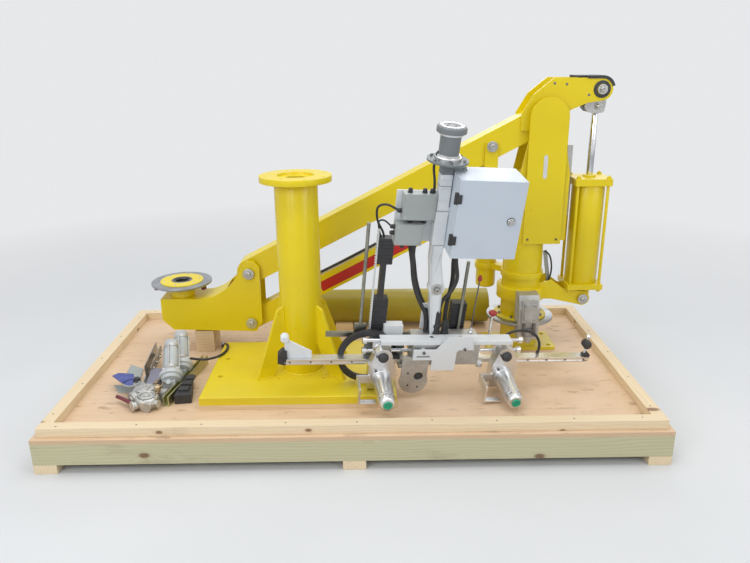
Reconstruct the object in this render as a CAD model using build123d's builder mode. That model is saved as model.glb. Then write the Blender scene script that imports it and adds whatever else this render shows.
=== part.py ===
"""Pneumatic manipulator arm, taken apart and set out on its timber shipping base.

Frame: X to the right along the base, Y away from the front edge, Z up.
The origin is the middle of the base, on the floor. All sizes are in millimetres.
"""

from build123d import *

import os
from math import atan2, cos, degrees, hypot, radians, sin, sqrt, tan

os.makedirs("parts", exist_ok=True)

# Fits and seats
fit = 0.05
seat = 0.2

# Timber base
base_length = 2440.0
base_depth = 1312.0
lumber_thickness = 38.0
lumber_width = 89.0
ply_thickness = 18.0
rim_width = 50.0
rim_inset = 20.0
joist_count = 5

# Column
column_x = -230.0
column_y = -153.0
column_height = 852.0
column_outer = 177.8
column_wall = 10.0
plate_length = 800.0
plate_depth = 570.0
plate_thickness = 35.0
plate_bevel = 3.0
shim_thickness = 20.0
shim_width = 70.0
anchor_spacing_x = 700.0
anchor_spacing_y = 180.0
anchor_hole = 22.0
jack_spacing_x = 190.0
jack_spacing_y = 236.0
jack_hole = 12.0
flange_outer = 295.0
flange_thickness = 25.0
flange_recess = 150.0
flange_recess_depth = 10.0
flange_bore = 78.0
flange_bolt_circle = 250.0
flange_bolt_hole = 11.0
flange_bolt_count = 8
gusset_thickness = 12.0
gusset_height = 305.0
gusset_notch = 130.0
gusset_shoulder = 30.0
gusset_reach = 232.0
gusset_toe = 35.0
gusset_angle = 36.0

# Post and brake of the arm
arm_x = 803.0
arm_y = 214.0
foot_length = 330.0
foot_depth = 200.0
foot_thickness = 15.0
foot_hole_inset = 30.0
post_outer = 174.0
post_height = 130.0
hub_outer = 250.0
hub_thickness = 8.0
spigot_height = 90.0
spigot_bevel = 5.0
disc_outer = 318.0
disc_thickness = 12.0
jaw_gap = 5.0
jaw_bite = 36.0
jaw_height = 46.0
caliper_overhang = 42.0
caliper_width = 94.0

# Turning tube and the brackets on it
tube_outer = 184.0
tube_wall = 12.0
tube_top = 840.0
collar_outer = 230.0
collar_bottom = 395.0
collar_height = 60.0
bracket_gap = 100.0
bracket_plate = 10.0
bracket_end = 34.0
reservoir_outer = 96.0
reservoir_bottom = 404.0
reservoir_height = 256.0
reservoir_round = 14.0
reservoir_left = 150.0
reservoir_behind = 134.0
strap_height = 30.0
strap_plate = 8.0
strap_gap = 45.0

# Parallelogram
fulcrum_x = 862.0
fulcrum_z = 1246.0
arm_length = 1530.0
arm_angle = 27.3
link_spacing = 247.0
middle_link_at = 273.0
middle_link_plate = 8.0
middle_link_width = 60.0
middle_link_gap = 120.0
pin_diameter = 30.0
pin_head = 10.0
upper_beam_depth = 118.0
upper_beam_width = 110.0
lower_beam_depth = 88.0
lower_beam_width = 90.0
lever_length = 255.0
lever_plate = 10.0
lever_end = 49.0
lever_tail = 118.0
lever_crown = 98.0
guard_plate = 9.0
guard_tail = 110.0
guard_wrap = 75.0

# Housing of the arm
cheek_gap = 144.0
cheek_plate = 10.0
cheek_width = 224.0
saddle_thickness = 12.0
rear_leg_width = 70.0
rear_leg_bottom = 690.0
cover_gap = 188.0
cover_plate = 6.0
cover_width = 172.0
cover_bottom = 677.0
spacer_diameter = 22.0

# Cylinder
cylinder_pivot_z = 395.0
end_head_side = 170.0
end_head_round = 7.0
top_head_height = 32.0
foot_head_height = 25.0
barrel_outer = 150.0
barrel_wall = 8.0
barrel_bottom = 470.0
barrel_length = 470.0
tie_rod = 14.0
tie_rod_spacing = 138.0
tie_rod_end = 12.0
rod_diameter = 30.0
rod_in_barrel = 64.0
yoke_drop = 72.0
yoke_end = 31.0
yoke_width = 66.0

# Head of the arm
head_length = 475.0
head_width = 160.0
head_plate = 10.0
head_nose = 50.0
head_flat = 195.0
head_rise = 14.0
neck_outer = 118.0
neck_height = 58.0
swivel_inset = 88.5
swivel_outer = 282.0
swivel_thickness = 10.0
swivel_lip = 4.0
swivel_hub = 200.0
swivel_bore = 98.0

# Spare tube that lies behind, and the timber blocks
spare_tube_outer = 178.0
spare_tube_wall = 9.0
spare_tube_length = 890.0
spare_tube_x = 245.0
spare_tube_inset = 169.0
cradle_height = 12.0
cradle_spacing = 620.0
head_block_at = 190.0

# Lifting tool, which leans towards the viewer with one end on the base plate
tool_x = 363.6
tool_y = -318.3
tool_rise = 96.9
tool_roll = 3.8
tool_lean = 10.0
tool_turn = 7.0
rail_length = 1304.0
rail_height = 16.0
rail_depth = 30.0
rail_hole = 8.0
rail_hole_step = 84.0
rail_hole_inset = 22.0
handle_plate = 8.0
handle_width = 110.0
handle_height = 86.0
knob_outer = 34.0
slide_rod = 16.0
slide_rod_length = 666.0
slide_rod_low = 43.0
slide_rod_high = 91.0
body_width = 280.0
body_height = 110.0
body_front = 42.0
body_back = 60.0
top_strip_length = 546.0
top_strip_back = 10.0
top_strip_lip = 12.0
top_strip_plate = 4.0
panel_plate = 8.0
panel_gap = 10.0
panel_step = 28.0
panel_rise = 36.0
panel_horn_left = 47.0
panel_horn_right = 98.0
panel_right = 108.0
panel_middle_left = 60.0
panel_middle_right = 38.0
panel_boss_right = 70.0
panel_slot_at = 98.0
panel_slot = 58.0
panel_slot_width = 8.0
flange_plate_radius = 60.0
flange_plate_x = -124.0
flange_plate_bore = 38.0
disc_plate = 20.0
disc_at = 310.0
disc_ring = 24.0

# Mandrels of the tool
mandrel_spacing = 518.0
mandrel_drop = 50.0
mandrel_root = 80.0
mandrel_tip = 62.0
mandrel_length = 172.0
block_plate = 50.0
block_width = 110.0
block_ring_height = 50.0
block_ring = 76.0
block_bore = 44.0
lug_depth = 28.0
shoe_plate = 8.0
shoe_reach = 104.0
shoe_length = 100.0
shoe_foot = 24.0
shoe_drop = 106.0

# Upright of the tool, its hub and its boxes
upright_side = 44.0
upright_back = 62.0
upright_top = 801.0
upright_x = -80.0
sleeve_side = 48.0
sleeve_bottom = 520.0
sleeve_top = 659.0
knee_x = -59.0
knee_height = 328.0
knee_radius = 32.0
foot_x = -47.0
hub_neck = 76.0
hub_disc = 154.0
hub_disc_plate = 8.0
hub_disc_rise = 46.0
hub_cap = 110.0
hub_cap_height = 24.0
hub_height = 177.0
box_width = 250.0
box_height = 305.0
box_depth = 155.0
box_front = 80.0
box_left = -54.0
box_bottom = 512.0
box_wall = 2.0
door_depth = 16.0
door_gap = 1.0
tab_height = 30.0
hinge_outer = 12.0
hinge_height = 40.0
hinge_leaf = 4.0
hinge_inset = 52.0
valve_box_width = 126.0
valve_box_height = 103.0
valve_box_bottom = 620.0
valve_box_depth = 46.0
valve_box_plate = 6.0
relay_box_width = 105.0
relay_box_height = 86.0
relay_box_gap = 17.0
relay_box_shift = 20.0

# Drag chains and guide rods behind the tool
chain_at = 270.0
chain_depth = 38.0
chain_width = 62.0
chain_height = 437.0
low_chain_height = 172.0
high_chain_height = 112.0
right_chain_at = 64.0
right_chain_height = 150.0
guide_rod_at = 345.0
guide_bar = 20.0
guide_bar_depth = 14.0
guide_rod_height = 495.0
short_rod_height = 336.0

# Hoses
thick_hose = 16.0

# Air unit, which lies at the left end
air_gap = 144.0
air_inset = 251.0
air_turn = 80.2
channel_length = 416.0
channel_width = 26.0
channel_height = 45.0
channel_wall = 5.0
filter_outer = 60.0
filter_length = 154.0
filter_lift = 31.3
filter_turn = 101.5
filter_height = 75.0
filter_head = 66.0
filter_base = 18.0
filter_at = 168.0
filter_step = 104.0
filter_across = 48.0
regulator_width = 110.0
valve_outer = 100.0
valve_height = 52.0
valve_along = 40.0
valve_across = 106.0
valve_pipe = 40.0
valve_pipe_across = 58.0
valve_pipe_start = -60.0
valve_lever_width = 46.0
valve_lever_plate = 8.0
valve_lever_along = 150.0
valve_lever_across = 240.0

# Heights and places that follow
beam_bottom = lumber_thickness
deck_bottom = beam_bottom + lumber_width
deck_top = deck_bottom + ply_thickness
plate_bottom = deck_top + shim_thickness
plate_top = plate_bottom + plate_thickness
flange_top = plate_top + column_height
flange_bottom = flange_top - flange_thickness
column_centre = (column_x, column_y)
post_centre = (arm_x, arm_y)
foot_top = deck_top + foot_thickness
disc_bottom = foot_top + post_height
disc_top = disc_bottom + disc_thickness
hub_top = disc_top + hub_thickness
tube_bore = tube_outer - 2 * tube_wall
pin_hole = pin_diameter / 2 + fit
lower_fulcrum_z = fulcrum_z - link_spacing
beam_run = cos(radians(arm_angle))
beam_rise = sin(radians(arm_angle))
cylinder_x = fulcrum_x + lever_length * beam_run
lever_eye_z = fulcrum_z + lever_length * beam_rise
head_pin_x = fulcrum_x - arm_length * beam_run
head_pin_z = fulcrum_z - arm_length * beam_rise
link_x = fulcrum_x - middle_link_at * beam_run
link_z = fulcrum_z - middle_link_at * beam_rise
arm_plane = Plane.XZ.offset(-arm_y)


def side_plane(distance):
    """Upright plane along the arm, at a distance from its middle towards the viewer."""
    return arm_plane.offset(distance)


def plate_starts(gap, plate):
    """Where two like plates start, one on each side of a gap about the middle of the arm."""
    return (gap / 2, -gap / 2 - plate)


# Timber base

with BuildPart() as pallet_runners:
    with BuildSketch():
        with GridLocations((base_length - lumber_width) / 2, 0, 3, 1):
            Rectangle(lumber_width, base_depth)
    extrude(amount=lumber_thickness)

with BuildPart() as pallet_frame:
    with BuildSketch(Plane.XY.offset(beam_bottom)):
        with GridLocations(0, base_depth - lumber_thickness, 1, 2):
            Rectangle(base_length, lumber_thickness)
        with GridLocations((base_length - lumber_thickness) / (joist_count - 1), 0, joist_count, 1):
            Rectangle(lumber_thickness, base_depth - lumber_thickness)
    extrude(amount=lumber_width)

with BuildPart() as pallet_deck:
    with BuildSketch(Plane.XY.offset(deck_bottom)):
        Rectangle(base_length, base_depth)
    extrude(amount=ply_thickness)

rim_border = 2 * (rim_inset + rim_width)
with BuildPart() as pallet_rim:
    with BuildSketch(Plane.XY.offset(deck_top)):
        Rectangle(base_length - 2 * rim_inset, base_depth - 2 * rim_inset)
        Rectangle(base_length - rim_border, base_depth - rim_border, mode=Mode.SUBTRACT)
    extrude(amount=lumber_thickness)

# Column on its base plate

with BuildPart() as column_base_plate:
    with BuildSketch(Plane.XY.offset(plate_bottom)):
        with Locations(column_centre):
            Rectangle(plate_length, plate_depth)
            with GridLocations(anchor_spacing_x, anchor_spacing_y, 2, 2):
                Circle(anchor_hole / 2, mode=Mode.SUBTRACT)
            with GridLocations(jack_spacing_x, jack_spacing_y, 2, 2):
                Circle(jack_hole / 2, mode=Mode.SUBTRACT)
    extrude(amount=plate_thickness)
    chamfer(column_base_plate.faces().sort_by(Axis.Z)[-1].outer_wire().edges(), length=plate_bevel)

with BuildPart() as column_tube:
    with BuildSketch(Plane.XY.offset(plate_top)):
        with Locations(column_centre):
            Circle(column_outer / 2)
            Circle(column_outer / 2 - column_wall, mode=Mode.SUBTRACT)
    extrude(amount=flange_bottom - plate_top)

with BuildPart() as column_flange:
    with BuildSketch(Plane.XY.offset(flange_bottom)):
        with Locations(column_centre):
            Circle(flange_outer / 2)
            Circle(flange_bore / 2, mode=Mode.SUBTRACT)
            with PolarLocations(flange_bolt_circle / 2, flange_bolt_count, start_angle=180 / flange_bolt_count):
                Circle(flange_bolt_hole / 2, mode=Mode.SUBTRACT)
    extrude(amount=flange_thickness)
    with BuildSketch(Plane.XY.offset(flange_top)):
        with Locations(column_centre):
            Circle(flange_recess / 2)
    extrude(amount=-flange_recess_depth, mode=Mode.SUBTRACT)

gusset_inner = column_outer / 2 + seat
with BuildPart() as column_gussets:
    for turn in (gusset_angle, 180 - gusset_angle, 180 + gusset_angle, -gusset_angle):
        outward = Vector(1, 0, 0).rotate(Axis.Z, turn)
        sideways = Vector(0, -1, 0).rotate(Axis.Z, turn)
        with BuildSketch(Plane(origin=(column_x, column_y, plate_top), x_dir=outward, z_dir=sideways)):
            with BuildLine():
                Polyline(
                    (gusset_inner, gusset_notch),
                    (gusset_inner, gusset_height),
                    (gusset_inner + gusset_shoulder, gusset_height - gusset_shoulder / 2),
                    (gusset_reach - gusset_toe / 2, gusset_toe),
                    (gusset_reach, 0),
                    (gusset_inner + 2 * gusset_shoulder, 0),
                    close=True,
                )
            make_face()
            with Locations((gusset_inner + 0.7 * gusset_shoulder, gusset_height - gusset_shoulder)):
                Circle(jack_hole / 4, mode=Mode.SUBTRACT)
        extrude(amount=gusset_thickness / 2, both=True)

# Post that carries the arm, with its brake disc

with BuildPart() as arm_post:
    with BuildSketch(Plane.XY.offset(deck_top)):
        with Locations(post_centre):
            RectangleRounded(foot_length, foot_depth, foot_thickness)
            with GridLocations(foot_length - 2 * foot_hole_inset, foot_depth - 2 * foot_hole_inset, 2, 2):
                Circle(anchor_hole / 2, mode=Mode.SUBTRACT)
    extrude(amount=foot_thickness)
    with BuildSketch(Plane.XY.offset(foot_top)):
        with Locations(post_centre):
            Circle(post_outer / 2)
    extrude(amount=disc_top - foot_top)
    with BuildSketch(Plane.XY.offset(disc_top)):
        with Locations(post_centre):
            Circle(hub_outer / 2)
    extrude(amount=hub_thickness)
    with BuildSketch(Plane.XY.offset(hub_top)):
        with Locations(post_centre):
            Circle(tube_bore / 2 - fit)
    extrude(amount=spigot_height)
    chamfer(arm_post.edges().group_by(Axis.Z)[-1], length=spigot_bevel)

with BuildPart() as brake_disc:
    with BuildSketch(Plane.XY.offset(disc_bottom)):
        with Locations(post_centre):
            Circle(disc_outer / 2)
            Circle(post_outer / 2, mode=Mode.SUBTRACT)
    extrude(amount=disc_thickness)

# Turning tube, its collar with the cylinder bracket, and the strap of the air reservoir

with BuildPart() as slew_tube:
    with BuildSketch(Plane.XY.offset(hub_top + seat)):
        with Locations(post_centre):
            Circle(tube_outer / 2)
            Circle(tube_bore / 2, mode=Mode.SUBTRACT)
    extrude(amount=tube_top - hub_top - seat)

collar_top = collar_bottom + collar_height
bracket_top = collar_top + bracket_end
bracket_ridge = arm_x + collar_outer / 2 + bracket_end / 2
foot_head_bottom = barrel_bottom - foot_head_height
strap_bottom = collar_top + strap_gap
reservoir_x = arm_x - reservoir_left
reservoir_y = arm_y + reservoir_behind
strap_length = hypot(reservoir_left, reservoir_behind)
strap_turn = degrees(atan2(-reservoir_behind, reservoir_left))
strap_middle = (arm_x - reservoir_left / 2, arm_y + reservoir_behind / 2, 0)
with BuildPart() as slew_brackets:
    with BuildSketch(Plane.XY.offset(collar_bottom)):
        with Locations(post_centre):
            Circle(collar_outer / 2)
    extrude(amount=collar_height)
    for start in plate_starts(bracket_gap, bracket_plate):
        with BuildSketch(side_plane(start)):
            with BuildLine():
                Polyline(
                    (arm_x, collar_bottom),
                    (arm_x, collar_top),
                    (bracket_ridge, bracket_top),
                    (cylinder_x - end_head_side / 2 - bracket_plate, foot_head_bottom - seat),
                    (cylinder_x, cylinder_pivot_z + bracket_end),
                    (cylinder_x, cylinder_pivot_z - bracket_end),
                    (bracket_ridge, collar_bottom),
                    close=True,
                )
            make_face()
            with Locations((cylinder_x, cylinder_pivot_z)):
                Circle(bracket_end)
                Circle(pin_hole, mode=Mode.SUBTRACT)
        extrude(amount=bracket_plate)
    with BuildSketch(Plane.XY.offset(strap_bottom)):
        with Locations(post_centre):
            Circle(tube_outer / 2 + strap_plate)
        with Locations((reservoir_x, reservoir_y)):
            Circle(reservoir_outer / 2 + strap_plate)
        with Locations(Location(strap_middle, (0, 0, strap_turn))):
            Rectangle(strap_length, reservoir_outer / 2)
        with Locations((reservoir_x, reservoir_y)):
            Circle(reservoir_outer / 2 + fit, mode=Mode.SUBTRACT)
    extrude(amount=strap_height)
    with BuildSketch(Plane.XY.offset(collar_bottom)):
        with Locations(post_centre):
            Circle(tube_outer / 2 + fit)
    extrude(amount=strap_bottom + strap_height - collar_bottom, mode=Mode.SUBTRACT)

disc_edge = arm_y - disc_outer / 2
with BuildPart() as brake_caliper:
    with BuildSketch(Plane.YZ.offset(arm_x - caliper_width / 2)):
        with BuildLine():
            Polyline(
                (arm_y - tube_outer / 2, collar_top),
                (disc_edge - caliper_overhang / 2, collar_top),
                (disc_edge - caliper_overhang, collar_bottom),
                (disc_edge - caliper_overhang, disc_bottom - jaw_height),
                (disc_edge + jaw_bite, disc_bottom - jaw_height),
                (disc_edge + jaw_bite, disc_bottom - jaw_gap),
                (disc_edge - jaw_gap, disc_bottom - jaw_gap),
                (disc_edge - jaw_gap, hub_top + jaw_gap),
                (arm_y - tube_outer / 2, hub_top + jaw_gap),
                close=True,
            )
        make_face()
    extrude(amount=caliper_width)
    with BuildSketch(Plane.XY.offset(disc_bottom)):
        with Locations(post_centre):
            Circle(collar_outer / 2 + seat)
    extrude(amount=collar_top - disc_bottom, mode=Mode.SUBTRACT)

with BuildPart() as air_reservoir:
    with BuildSketch(Plane.XY.offset(reservoir_bottom)):
        with Locations((reservoir_x, reservoir_y)):
            Circle(reservoir_outer / 2)
    extrude(amount=reservoir_height)
    fillet(air_reservoir.edges().filter_by(GeomType.CIRCLE), radius=reservoir_round)

# Housing: cheeks on their saddle, and the two covers with their spacers

saddle_top = tube_top + saddle_thickness
cheek_outer = cheek_gap / 2 + cheek_plate
cheek_left = fulcrum_x - cheek_width / 2
cheek_right = fulcrum_x + cheek_width / 2
with BuildPart() as housing_cheeks:
    with BuildSketch(Plane.XY.offset(tube_top)):
        with Locations((fulcrum_x, arm_y)):
            Rectangle(cheek_width, 2 * cheek_outer)
    extrude(amount=saddle_thickness)
    for start in plate_starts(cheek_gap, cheek_plate):
        with BuildSketch(side_plane(start)):
            with BuildLine():
                Polyline(
                    (cheek_left, saddle_top),
                    (cheek_left, lower_fulcrum_z),
                    (fulcrum_x - cheek_width / 4, fulcrum_z + pin_diameter),
                    (fulcrum_x + cheek_width / 4, fulcrum_z + pin_diameter),
                    (cheek_right, lower_fulcrum_z),
                    (cheek_right, rear_leg_bottom),
                    (cheek_right - rear_leg_width, rear_leg_bottom),
                    (cheek_right - rear_leg_width, saddle_top),
                    close=True,
                )
            make_face()
            with Locations((fulcrum_x, fulcrum_z), (fulcrum_x, lower_fulcrum_z)):
                Circle(pin_hole, mode=Mode.SUBTRACT)
        extrude(amount=cheek_plate)

spacer_length = cover_gap / 2 - cheek_outer
spacer_points = (
    (fulcrum_x - cover_width / 4, fulcrum_z - link_spacing / 2),
    (fulcrum_x + cover_width / 4, fulcrum_z - link_spacing / 2),
    (fulcrum_x, saddle_top + 2 * spacer_diameter),
)
with BuildPart() as housing_covers:
    for start in plate_starts(cover_gap, cover_plate):
        with BuildSketch(side_plane(start)):
            with BuildLine():
                Polyline(
                    (fulcrum_x - cover_width / 2, fulcrum_z),
                    (fulcrum_x - cover_width / 2, cover_bottom),
                    (fulcrum_x + cover_width / 2, cover_bottom),
                    (fulcrum_x + cover_width / 2, fulcrum_z),
                )
                ThreePointArc(
                    (fulcrum_x + cover_width / 2, fulcrum_z),
                    (fulcrum_x, fulcrum_z + cover_width / 2),
                    (fulcrum_x - cover_width / 2, fulcrum_z),
                )
            make_face()
        extrude(amount=cover_plate)
    for start in (cheek_outer, -cover_gap / 2):
        with BuildSketch(side_plane(start)):
            with Locations(*spacer_points):
                Circle(spacer_diameter / 2)
        extrude(amount=spacer_length)

with BuildPart() as pivot_pins:
    with BuildSketch(arm_plane):
        with Locations((fulcrum_x, fulcrum_z), (fulcrum_x, lower_fulcrum_z)):
            Circle(pin_diameter / 2)
    extrude(amount=cheek_outer + pin_head, both=True)
    with BuildSketch(arm_plane):
        with Locations((cylinder_x, cylinder_pivot_z)):
            Circle(pin_diameter / 2)
    extrude(amount=bracket_gap / 2 + bracket_plate + pin_head, both=True)

# Cylinder

barrel_top = barrel_bottom + barrel_length
barrel_centre = (cylinder_x, arm_y)
eye_width = bracket_gap - bracket_plate
with BuildPart() as cylinder_barrel:
    with BuildSketch(Plane.XY.offset(barrel_bottom)):
        with Locations(barrel_centre):
            Circle(barrel_outer / 2)
            Circle(barrel_outer / 2 - barrel_wall, mode=Mode.SUBTRACT)
    extrude(amount=barrel_length)

with BuildPart() as cylinder_heads:
    with BuildSketch(Plane.XY.offset(barrel_top)):
        with Locations(barrel_centre):
            RectangleRounded(end_head_side, end_head_side, end_head_round)
            Circle(rod_diameter / 2 + fit, mode=Mode.SUBTRACT)
            with GridLocations(tie_rod_spacing, tie_rod_spacing, 2, 2):
                Circle(tie_rod / 2 + fit, mode=Mode.SUBTRACT)
    extrude(amount=top_head_height)
    with BuildSketch(Plane.XY.offset(foot_head_bottom)):
        with Locations(barrel_centre):
            RectangleRounded(end_head_side, end_head_side, end_head_round)
            with GridLocations(tie_rod_spacing, tie_rod_spacing, 2, 2):
                Circle(tie_rod / 2 + fit, mode=Mode.SUBTRACT)
    extrude(amount=foot_head_height)
    with BuildSketch(arm_plane):
        with Locations((cylinder_x, (cylinder_pivot_z + foot_head_bottom) / 2)):
            Rectangle(2 * bracket_end, foot_head_bottom - cylinder_pivot_z)
        with Locations((cylinder_x, cylinder_pivot_z)):
            Circle(bracket_end)
            Circle(pin_hole, mode=Mode.SUBTRACT)
    extrude(amount=eye_width / 2, both=True)

with BuildPart() as tie_rods:
    with BuildSketch(Plane.XY.offset(foot_head_bottom - tie_rod_end)):
        with Locations(barrel_centre):
            with GridLocations(tie_rod_spacing, tie_rod_spacing, 2, 2):
                Circle(tie_rod / 2)
    extrude(amount=barrel_top + top_head_height - foot_head_bottom + 2 * tie_rod_end)

# Piston rod and its yoke

yoke_z = lever_eye_z - yoke_drop
yoke_bottom = yoke_z - yoke_end
with BuildPart() as piston_rod:
    with BuildSketch(Plane.XY.offset(barrel_top - rod_in_barrel)):
        with Locations(barrel_centre):
            Circle(rod_diameter / 2)
    extrude(amount=yoke_bottom - barrel_top + rod_in_barrel)

with BuildPart() as rod_yoke:
    with BuildSketch(arm_plane):
        with Locations((cylinder_x, (yoke_bottom + lever_eye_z) / 2)):
            Rectangle(2 * yoke_end, lever_eye_z - yoke_bottom)
        with Locations((cylinder_x, lever_eye_z)):
            Circle(yoke_end)
            Circle(pin_hole, mode=Mode.SUBTRACT)
    extrude(amount=yoke_width / 2, both=True)
    fillet(rod_yoke.edges().filter_by(Axis.Y).group_by(Axis.Z)[0], radius=yoke_end / 2)

# Upper beam with the rear lever

beam_out = Vector(-beam_run, 0, -beam_rise)
upper_plane = Plane(origin=(fulcrum_x, arm_y, fulcrum_z), x_dir=beam_out, z_dir=(0, 1, 0))
lower_plane = Plane(origin=(fulcrum_x, arm_y, lower_fulcrum_z), x_dir=beam_out, z_dir=(0, 1, 0))

with BuildPart() as upper_beam:
    with BuildSketch(upper_plane):
        with Locations((arm_length / 2, 0)):
            Rectangle(arm_length, upper_beam_depth)
        with Locations((0, 0), (arm_length, 0)):
            Circle(upper_beam_depth / 2)
        with Locations((0, 0), (middle_link_at, 0), (arm_length, 0)):
            Circle(pin_hole, mode=Mode.SUBTRACT)
    extrude(amount=upper_beam_width / 2, both=True)

lever_top = lever_eye_z + lever_end
half_beam = upper_beam_depth / 2
with BuildPart() as lever_plates:
    for start in plate_starts(upper_beam_width, lever_plate):
        with BuildSketch(side_plane(start)):
            with BuildLine():
                Polyline(
                    (fulcrum_x - lever_tail, fulcrum_z - half_beam),
                    (fulcrum_x - lever_tail, fulcrum_z + pin_diameter / 2),
                    (fulcrum_x - lever_tail + lever_end, fulcrum_z + lever_crown),
                    (fulcrum_x + pin_diameter / 2, lever_top),
                    (cylinder_x, lever_top),
                    (cylinder_x, lever_eye_z - lever_end),
                    (cylinder_x - half_beam, fulcrum_z + half_beam),
                    (fulcrum_x + lever_crown, fulcrum_z + pin_diameter),
                    (fulcrum_x + pin_diameter, fulcrum_z - half_beam),
                    close=True,
                )
            make_face()
            with Locations((cylinder_x, lever_eye_z)):
                Circle(lever_end)
                Circle(pin_hole, mode=Mode.SUBTRACT)
            with Locations((fulcrum_x, fulcrum_z)):
                Circle(pin_hole, mode=Mode.SUBTRACT)
        extrude(amount=lever_plate)

stub_start = (upper_beam_width - lever_plate) / 2
lever_outer = upper_beam_width / 2 + lever_plate
link_outer = middle_link_gap / 2 + middle_link_plate
with BuildPart() as arm_pins:
    for start in (stub_start, -lever_outer - pin_head):
        with BuildSketch(side_plane(start)):
            with Locations((cylinder_x, lever_eye_z)):
                Circle(pin_diameter / 2)
        extrude(amount=lever_outer + pin_head - stub_start)
    with BuildSketch(arm_plane):
        with Locations((link_x, link_z)):
            Circle(pin_diameter / 2)
    extrude(amount=link_outer + pin_head, both=True)

guard_inner = lever_end + seat
guard_outer = guard_inner + guard_plate
guard_end = 90 - guard_wrap
with BuildPart() as lever_guard:
    with BuildSketch(arm_plane):
        with BuildLine():
            inner_arc = CenterArc((cylinder_x, lever_eye_z), guard_inner, guard_end, guard_wrap)
            outer_arc = CenterArc((cylinder_x, lever_eye_z), guard_outer, guard_end, guard_wrap)
            Line(inner_arc @ 0, outer_arc @ 0)
            Polyline(
                inner_arc @ 1,
                (cylinder_x - guard_tail, lever_eye_z + guard_inner),
                (cylinder_x - guard_tail, lever_eye_z + guard_outer),
                outer_arc @ 1,
            )
        make_face()
    extrude(amount=lever_outer, both=True)

# Lower beam and the middle link

with BuildPart() as lower_beam:
    with BuildSketch(lower_plane):
        with Locations((arm_length / 2, 0)):
            Rectangle(arm_length, lower_beam_depth)
        with Locations((0, 0), (arm_length, 0)):
            Circle(lower_beam_depth / 2)
        with Locations((0, 0), (middle_link_at, 0), (arm_length, 0)):
            Circle(pin_hole, mode=Mode.SUBTRACT)
    extrude(amount=lower_beam_width / 2, both=True)

with BuildPart() as lower_link_pin:
    with BuildSketch(arm_plane):
        with Locations((link_x, link_z - link_spacing)):
            Circle(pin_diameter / 2)
    extrude(amount=link_outer + pin_head, both=True)

with BuildPart() as middle_link:
    for start in plate_starts(middle_link_gap, middle_link_plate):
        with BuildSketch(side_plane(start)):
            with Locations((link_x, link_z - link_spacing / 2)):
                SlotCenterToCenter(link_spacing, middle_link_width, rotation=90)
            with Locations((link_x, link_z), (link_x, link_z - link_spacing)):
                Circle(pin_hole, mode=Mode.SUBTRACT)
        extrude(amount=middle_link_plate)

# Head of the arm: two side plates joined by a top and a bottom sheet, open where the beams enter

head_right = head_pin_x + head_nose
head_left = head_right - head_length
head_top = head_pin_z - link_spacing / 2
head_low = head_pin_z - link_spacing - lower_beam_depth / 2 + seat
pocket_end = head_pin_x - 1.5 * head_nose
head_crown = head_pin_z + half_beam
swivel_x = head_left + swivel_inset
neck_top = head_top + neck_height
with BuildPart() as arm_head:
    with BuildSketch(arm_plane):
        with BuildLine():
            top = Line((head_left, head_top), (head_left + head_flat, head_top))
            back = Line((head_pin_x - head_nose, head_pin_z), (head_pin_x - head_plate, head_crown))
            Spline(top @ 1, back @ 0, tangents=((1, 0), (0.45, 1)), tangent_scalars=(1.1, 0.7))
            Polyline(
                back @ 1,
                (head_pin_x + head_nose / 2, head_crown),
                (head_right, head_pin_z + pin_diameter),
                (head_right, head_low + head_nose),
                (head_right - pin_diameter, head_low),
                (head_left + head_nose, head_low + head_rise),
                (head_left, head_low + head_nose + head_rise),
                top @ 0,
            )
        make_face()
        with Locations((head_pin_x, head_pin_z), (head_pin_x, head_pin_z - link_spacing)):
            Circle(pin_hole, mode=Mode.SUBTRACT)
    extrude(amount=head_width / 2, both=True)
    with BuildSketch(arm_plane):
        with BuildLine():
            Polyline(
                (head_left + head_plate, head_low + head_nose + head_rise),
                (head_left + head_plate, head_top - head_plate),
                (head_left + head_flat, head_top - head_plate),
                (head_pin_x - 2 * half_beam, head_top + head_plate),
                (head_pin_x - 1.3 * half_beam, head_crown + head_plate),
                (head_right + head_plate, head_crown + head_plate),
                (head_right + head_plate, head_low - head_plate),
                (pocket_end, head_low - head_plate),
                (pocket_end, head_low + head_plate + head_rise),
                (head_left + head_nose, head_low + head_plate + head_rise),
                close=True,
            )
        make_face()
    extrude(amount=head_width / 2 - head_plate, both=True, mode=Mode.SUBTRACT)
    with BuildSketch(Plane.XY.offset(head_top - head_plate)):
        with Locations((swivel_x, arm_y)):
            Circle(neck_outer / 2)
    extrude(amount=neck_height + head_plate)
    with BuildSketch(Plane.XY.offset(neck_top)):
        with Locations((swivel_x, arm_y)):
            Circle(swivel_bore / 2)
    extrude(amount=-neck_height - head_plate, mode=Mode.SUBTRACT)

with BuildPart() as head_pins:
    with BuildSketch(arm_plane):
        with Locations((head_pin_x, head_pin_z), (head_pin_x, head_pin_z - link_spacing)):
            Circle(pin_diameter / 2)
    extrude(amount=head_width / 2 + pin_head, both=True)

with BuildPart() as swivel_disc:
    with BuildSketch(Plane.XY.offset(neck_top + seat)):
        with Locations((swivel_x, arm_y)):
            Circle(swivel_outer / 2)
            Circle(swivel_hub / 2, mode=Mode.SUBTRACT)
    extrude(amount=swivel_thickness)

with BuildPart() as swivel_ring:
    with BuildSketch(Plane.XY.offset(neck_top + seat)):
        with Locations((swivel_x, arm_y)):
            Circle(swivel_hub / 2)
            Circle(swivel_bore / 2, mode=Mode.SUBTRACT)
    extrude(amount=swivel_thickness + swivel_lip)

# Spare tube behind the column, and the timber blocks under the kit

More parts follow.
